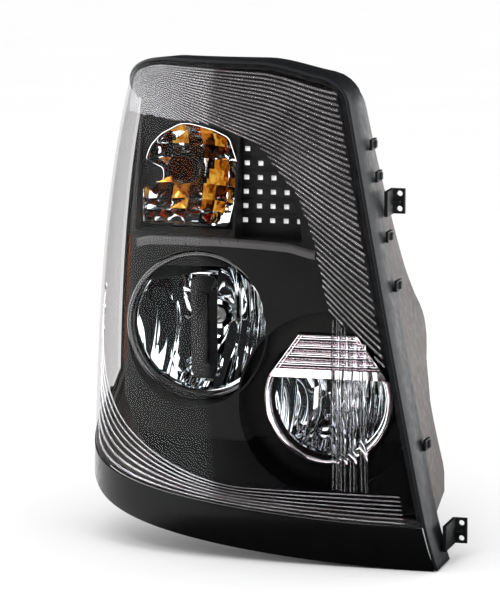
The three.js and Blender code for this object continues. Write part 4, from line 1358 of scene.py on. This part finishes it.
def make_cap(lamp):
    name, x, z = lamp["name"], lamp["x"], lamp["z"]
    reach = CAPS[name]
    profile = [
        (0, 264), (reach - 20, 264), (reach - 18, 263.2), (reach - 12, 263.2), (reach - 10, 264),
        (reach - 3, 264), (reach - 1, 263.2), (reach, 261.4), (reach, 250.6), (reach - 0.5, 250),
        (reach - 2.8, 250), (reach - 2.8, 260.6), (0, 260.6),
    ]
    cap = turned(name + "_cap_moulding", x, z, profile, 120)
    grip = reach - 14
    bar = block("grip", (x - grip, 263, z - 5), (x + grip, 275, z + 5))
    add(cap, soften(bar, 2.4, 3, 40))
    for i in range(6):
        angle = i * math.pi / 3 + 0.3
        knurl_x, knurl_z = x + math.cos(angle) * (reach - 0.2), z + math.sin(angle) * (reach - 0.2)
        add(cap, rod("knurl", knurl_x, knurl_z, 3, 250.5, 261, 24))
    for i in range(12):
        angle = (i + 0.5) * math.pi / 6
        path = [
            (x + math.cos(angle) * r, 264.2, z + math.sin(angle) * r) for r in np.linspace(18, reach - 22, 6)
        ]
        add(cap, lofts("rib", [bead(path, 1.0)]))
    soften(cap, 0.5, 2, 45)
    finished(cap, name + "_cover", "black_socket", socket_plastic, name + "_cap")


def make_screw(lamp):
    name, x, z = lamp["name"], lamp["x"], lamp["z"]
    drop, nut_y = SCREWS[name]
    turns = np.arange(nut_y - 12, 234, 1.0)
    profile = [(0, nut_y - 12)]
    profile += [(2.9 if i % 2 else 2.35, y) for i, y in enumerate(turns)]
    profile += [(2.9, 235), (2.9, 256), (0, 256)]
    shank = turned(name + "_adjuster_screw_thread", x, z - drop, profile, 24)
    head = rod("head", x, z - drop, 6.8, 253, 263, 6)
    slot = block("slot", (x - 8, 260.5, z - drop - 0.9), (x + 8, 264, z - drop + 0.9))
    cut(head, slot)
    soften(head, 0.5, 2, 35)
    add(shank, head)
    finished(shank, name + "_screw", "nylon", nylon, name + "_adjuster_screw")


def make_sockets():
    x, z, y = TURN["x"], TURN["z"], TURN["bulb_y"]
    profile = [
        (0, y + 20.4), (12.5, y + 20.4), (13.5, y + 22), (13.5, 250.8), (15.5, 251), (15.5, 253),
        (22.4, 253), (23, 253.6), (23, 257.4), (22.4, 258), (0, 258),
    ]
    holder = turned("turn_signal_socket_moulding", x, z, profile, 72)
    wing = block("wing", (x - 17, 257, z - 5), (x + 17, 270, z + 5))
    hub = block("hub", (x - 9, 257, z - 9), (x + 9, 277, z + 9))
    add(holder, soften(wing, 1.4, 3, 40))
    add(holder, soften(hub, 1.2, 3, 40))
    soften(holder, 0.3, 2, 50)
    finished(holder, "turn_signal_unit", "black_socket", socket_plastic, "turn_signal_socket")
    x, z = SIDE["x"], SIDE["z"]
    profile = [
        (0, 240.4), (7.8, 240.4), (8.5, 241.2), (8.5, 267), (13.6, 267), (14, 267.4), (14, 270),
        (13.6, 270.5), (0, 270.5),
    ]
    holder = turned("side_marker_socket_moulding", x, z, profile, 64)
    grip = block("grip", (x - 11, 270, z - 3), (x + 11, 279, z + 3))
    add(holder, soften(grip, 1.2, 3, 40))
    finished(holder, "side_marker_unit", "black_socket", socket_plastic, "side_marker_socket")


def make_connector():
    x, z, base = CONNECTOR["x"], CONNECTOR["z"], HOUSING_BACK + 0.4
    wide, high = CONNECTOR["wide"] / 2, CONNECTOR["high"] / 2
    deep = CONNECTOR["deep"]

    def slab(grow, y0, y1, radius):
        outline = box_outline(x - wide - grow, x + wide + grow, z - high - grow, z + high + grow)
        return extruded("slab", rounded(outline, radius), y0, y1)

    shell = slab(0, base, base + deep, 3)
    add(shell, slab(4, base, base + 3, 4))
    add(shell, block("spigot", (x - 11, base - 8, z - 6), (x + 11, base + 1, z + 6)))
    cut(shell, slab(-3, base + 5, base + deep + 2, 2))
    add(shell, block("latch", (x - 6, base + 10, z + high - 1), (x + 6, base + 22, z + high + 2.6)))
    soften(shell, 0.5, 2, 40)
    shell.name = "wiring_connector_shell"
    finished(shell, "lamp_body", "black_socket", socket_plastic, "wiring_connector")


def make_vents():
    for i, (x, z) in enumerate(VENTS, 1):
        profile = [
            (0, 262), (6.5, 261.8), (8.4, 261), (9.6, 259.4), (10, 257.6), (9.6, 256), (10, 254.4),
            (9.6, 252.8), (10, 251.2), (9.6, 249.6), (10, 248), (9.8, 246.6), (8.2, 246.6),
            (8.2, 256), (0, 256),
        ]
        vent = turned(f"breather_cap_{i}_bellows", x, z, profile, 56)
        finished(vent, "lamp_body", "rubber", rubber, f"breather_cap_{i}")


def make_bracket(node):
    (x0, y0, z0), (x1, y1, z1) = span(node)
    made = block(node + "_plate", (x0, y1 - 4, z0), (x1, y1, z1))
    add(made, block("web", (x0, y0, z0), (x0 + 4, y1, z1)))
    add(made, block("gusset", (x0 + 3, y1 - 12, z0 + 13), (x1 - 4, y1 - 3, z0 + 15)))
    middle = (z0 + z1) / 2
    for side in (-1, 1):
        cut(made, rod("hole", x0 + 10.6, middle + side * 8.5, 3.2, y1 - 8, y1 + 4, 40))
    soften(made, 0.7, 3, 40)
    finished(made, "lamp_body", "black_matte", matte_black, node)


def make_clips():
    for i in range(1, 6):
        (x0, y0, z0), (x1, y1, z1) = span(f"frame_clip_{i}")
        body = block(f"frame_clip_{i}_moulding", (x0, y0, z0), (x0 + 3.2, y1, z1))
        middle = (y0 + y1) / 2 + 1
        hook = block("hook", (x0, middle - 3, z0 + 2), (x1, middle + 3, z1 - 2))
        add(body, soften(hook, 1, 2, 40))
        cut(body, block("slot", (x0 - 1, y0 + 2.5, z0 + 3), (x0 + 4, y0 + 5.5, z1 - 3)))
        soften(body, 0.5, 2, 40)
        finished(body, "lamp_body", "black_matte", matte_black, f"frame_clip_{i}")


def keep(node, finish, width):
    """Gives a CAD node that stays in view rounded edges and its finish."""
    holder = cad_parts[node]
    holder.data.materials.clear()
    holder.data.materials.append(finish)
    change = holder.modifiers.new("soften", "BEVEL")
    change.width = width * MM
    change.segments = 3
    change.limit_method = "ANGLE"
    change.angle_limit = math.radians(35)


def keep_cad_nodes():
    for lamp in ("low_beam", "high_beam"):
        keep(lamp + "_pivot_pin_inboard", steel, 0.5)
        keep(lamp + "_pivot_pin_outboard", steel, 0.5)
        keep(lamp + "_adjuster_nut", nylon, 0.3)
        keep(lamp + "_bulb_base", socket_plastic, 0.7)
        keep(lamp + "_cap_seal", rubber, 0.5)
    for i in range(1, 4):
        keep(f"connector_blade_{i}", steel, 0.3)
    keep("turn_signal_seal", rubber, 0.4)
    keep("side_marker_seal", rubber, 0.4)
    keep("side_marker_bulb", bulb_clear, 0.5)


# ---- camera, stage and lights ----

AZIMUTH, ELEVATION = 15, 9
AIM = (-44.6, 90, 276)
FOCAL_LENGTH, SENSOR = 250, 36
DISTANCE = 0.6666 * FOCAL_LENGTH / SENSOR
SOFTBOX_DISTANCE = 2.3
# Name, azimuth and elevation in degrees, width and height in metres, watts.
SOFTBOXES = [
    ("softbox_right", 52, 18, 0.4, 1.6, 4), ("softbox_key", -10, 42, 1.2, 0.16, 7),
    ("softbox_top", 0, 75, 1.4, 0.3, 5),
]


def stand(name, data, azimuth, elevation, distance):
    """Puts a camera or a light in its direction from the lamp, turned to face it."""
    sideways, upwards = math.radians(azimuth), math.radians(elevation)
    level = math.cos(upwards)
    way = Vector((math.sin(sideways) * level, -math.cos(sideways) * level, math.sin(upwards)))
    made = bpy.data.objects.new(name, data)
    made.location = Vector(place(AIM)) + way * distance
    made.rotation_mode = "QUATERNION"
    made.rotation_quaternion = way.to_track_quat("Z", "Y")
    scene.collection.objects.link(made)
    return made


def make_camera():
    data = bpy.data.cameras.new("camera")
    data.lens, data.sensor_width, data.clip_end = FOCAL_LENGTH, SENSOR, 100
    scene.camera = stand("camera", data, AZIMUTH, ELEVATION, DISTANCE)


def make_softboxes():
    for name, azimuth, elevation, width, height, watts in SOFTBOXES:
        data = bpy.data.lights.new(name, "AREA")
        data.shape = "RECTANGLE"
        data.size, data.size_y, data.energy = width, height, watts
        stand(name, data, azimuth, elevation, SOFTBOX_DISTANCE)


def bright_sides(tree, direction, start, end, level):
    """Dark ahead and bright to both sides, like a studio tent with an opening."""
    sideways = tree.node("SeparateXYZ", {0: direction}).outputs["X"]
    size = tree.first("Math", {0: sideways}, operation="ABSOLUTE")
    return tree.ranged(size, 0.02, level, start, end, interpolation_type="SMOOTHSTEP")


def make_world():
    """White to the viewer, bright to matte surfaces; polished ones see bright sides only."""
    world = Nodes(bpy.data.worlds.new("studio"))
    scene.world = world.made
    plain = world.first("Background", {0: (1, 1, 1, 1), 1: 1.06})
    direction = world.node("TexCoord").outputs["Generated"]
    sides = bright_sides(world, direction, 0.5, 0.56, 4.0)
    tent = world.first("Background", {0: (0.95, 0.99, 1.0, 1), 1: sides})
    world.output(world.mix(world.rays("Is Glossy Ray"), plain, tent), "OutputWorld")


def floor_paper():
    """Pale paper that polished surfaces see as dark near the lamp."""
    finish = new_finish("floor_paper")
    shades = (0.3, (0.925, 0.925, 0.925)), (0.7, (0.935, 0.935, 0.935))
    paper = finish.first("BsdfDiffuse", {"Color": finish.ramp(finish.noise(300), *shades)})
    sides = bright_sides(finish, finish.coordinates, 0.25, 0.35, 3.0)
    seen = finish.first("Emission", {"Strength": sides})
    return finish.output(finish.mix(finish.rays("Is Glossy Ray"), paper, seen))


def make_floor():
    mesh = bpy.data.meshes.new("floor")
    work = bmesh.new()
    bmesh.ops.create_circle(work, cap_ends=True, radius=40, segments=96)
    work.to_mesh(mesh)
    work.free()
    floor = bpy.data.objects.new("floor", mesh)
    floor.location = (0, 0, cad_box[0][2] - 0.5 * MM)
    scene.collection.objects.link(floor)
    floor.data.materials.append(floor_paper())


make_camera()
make_world()
make_floor()
make_softboxes()
for make_piece in (
    make_lens, make_optics, make_seal, make_front_frame, make_skirt, make_housing, make_bezel,
    make_grid, make_side_reflex, make_rings, make_visor, make_low_filler, make_shield,
    make_turn_reflector, make_turn_recess, make_ledge, make_turn_bulb,
):
    make_piece()
for beam in (LOW, HIGH):
    make_reflector(beam)
    make_bulb(beam)
    make_cap(beam)
    make_screw(beam)
make_sockets()
make_connector()
make_vents()
make_bracket("upper_mount_bracket")
make_bracket("lower_mount_bracket")
make_clips()
keep_cad_nodes()
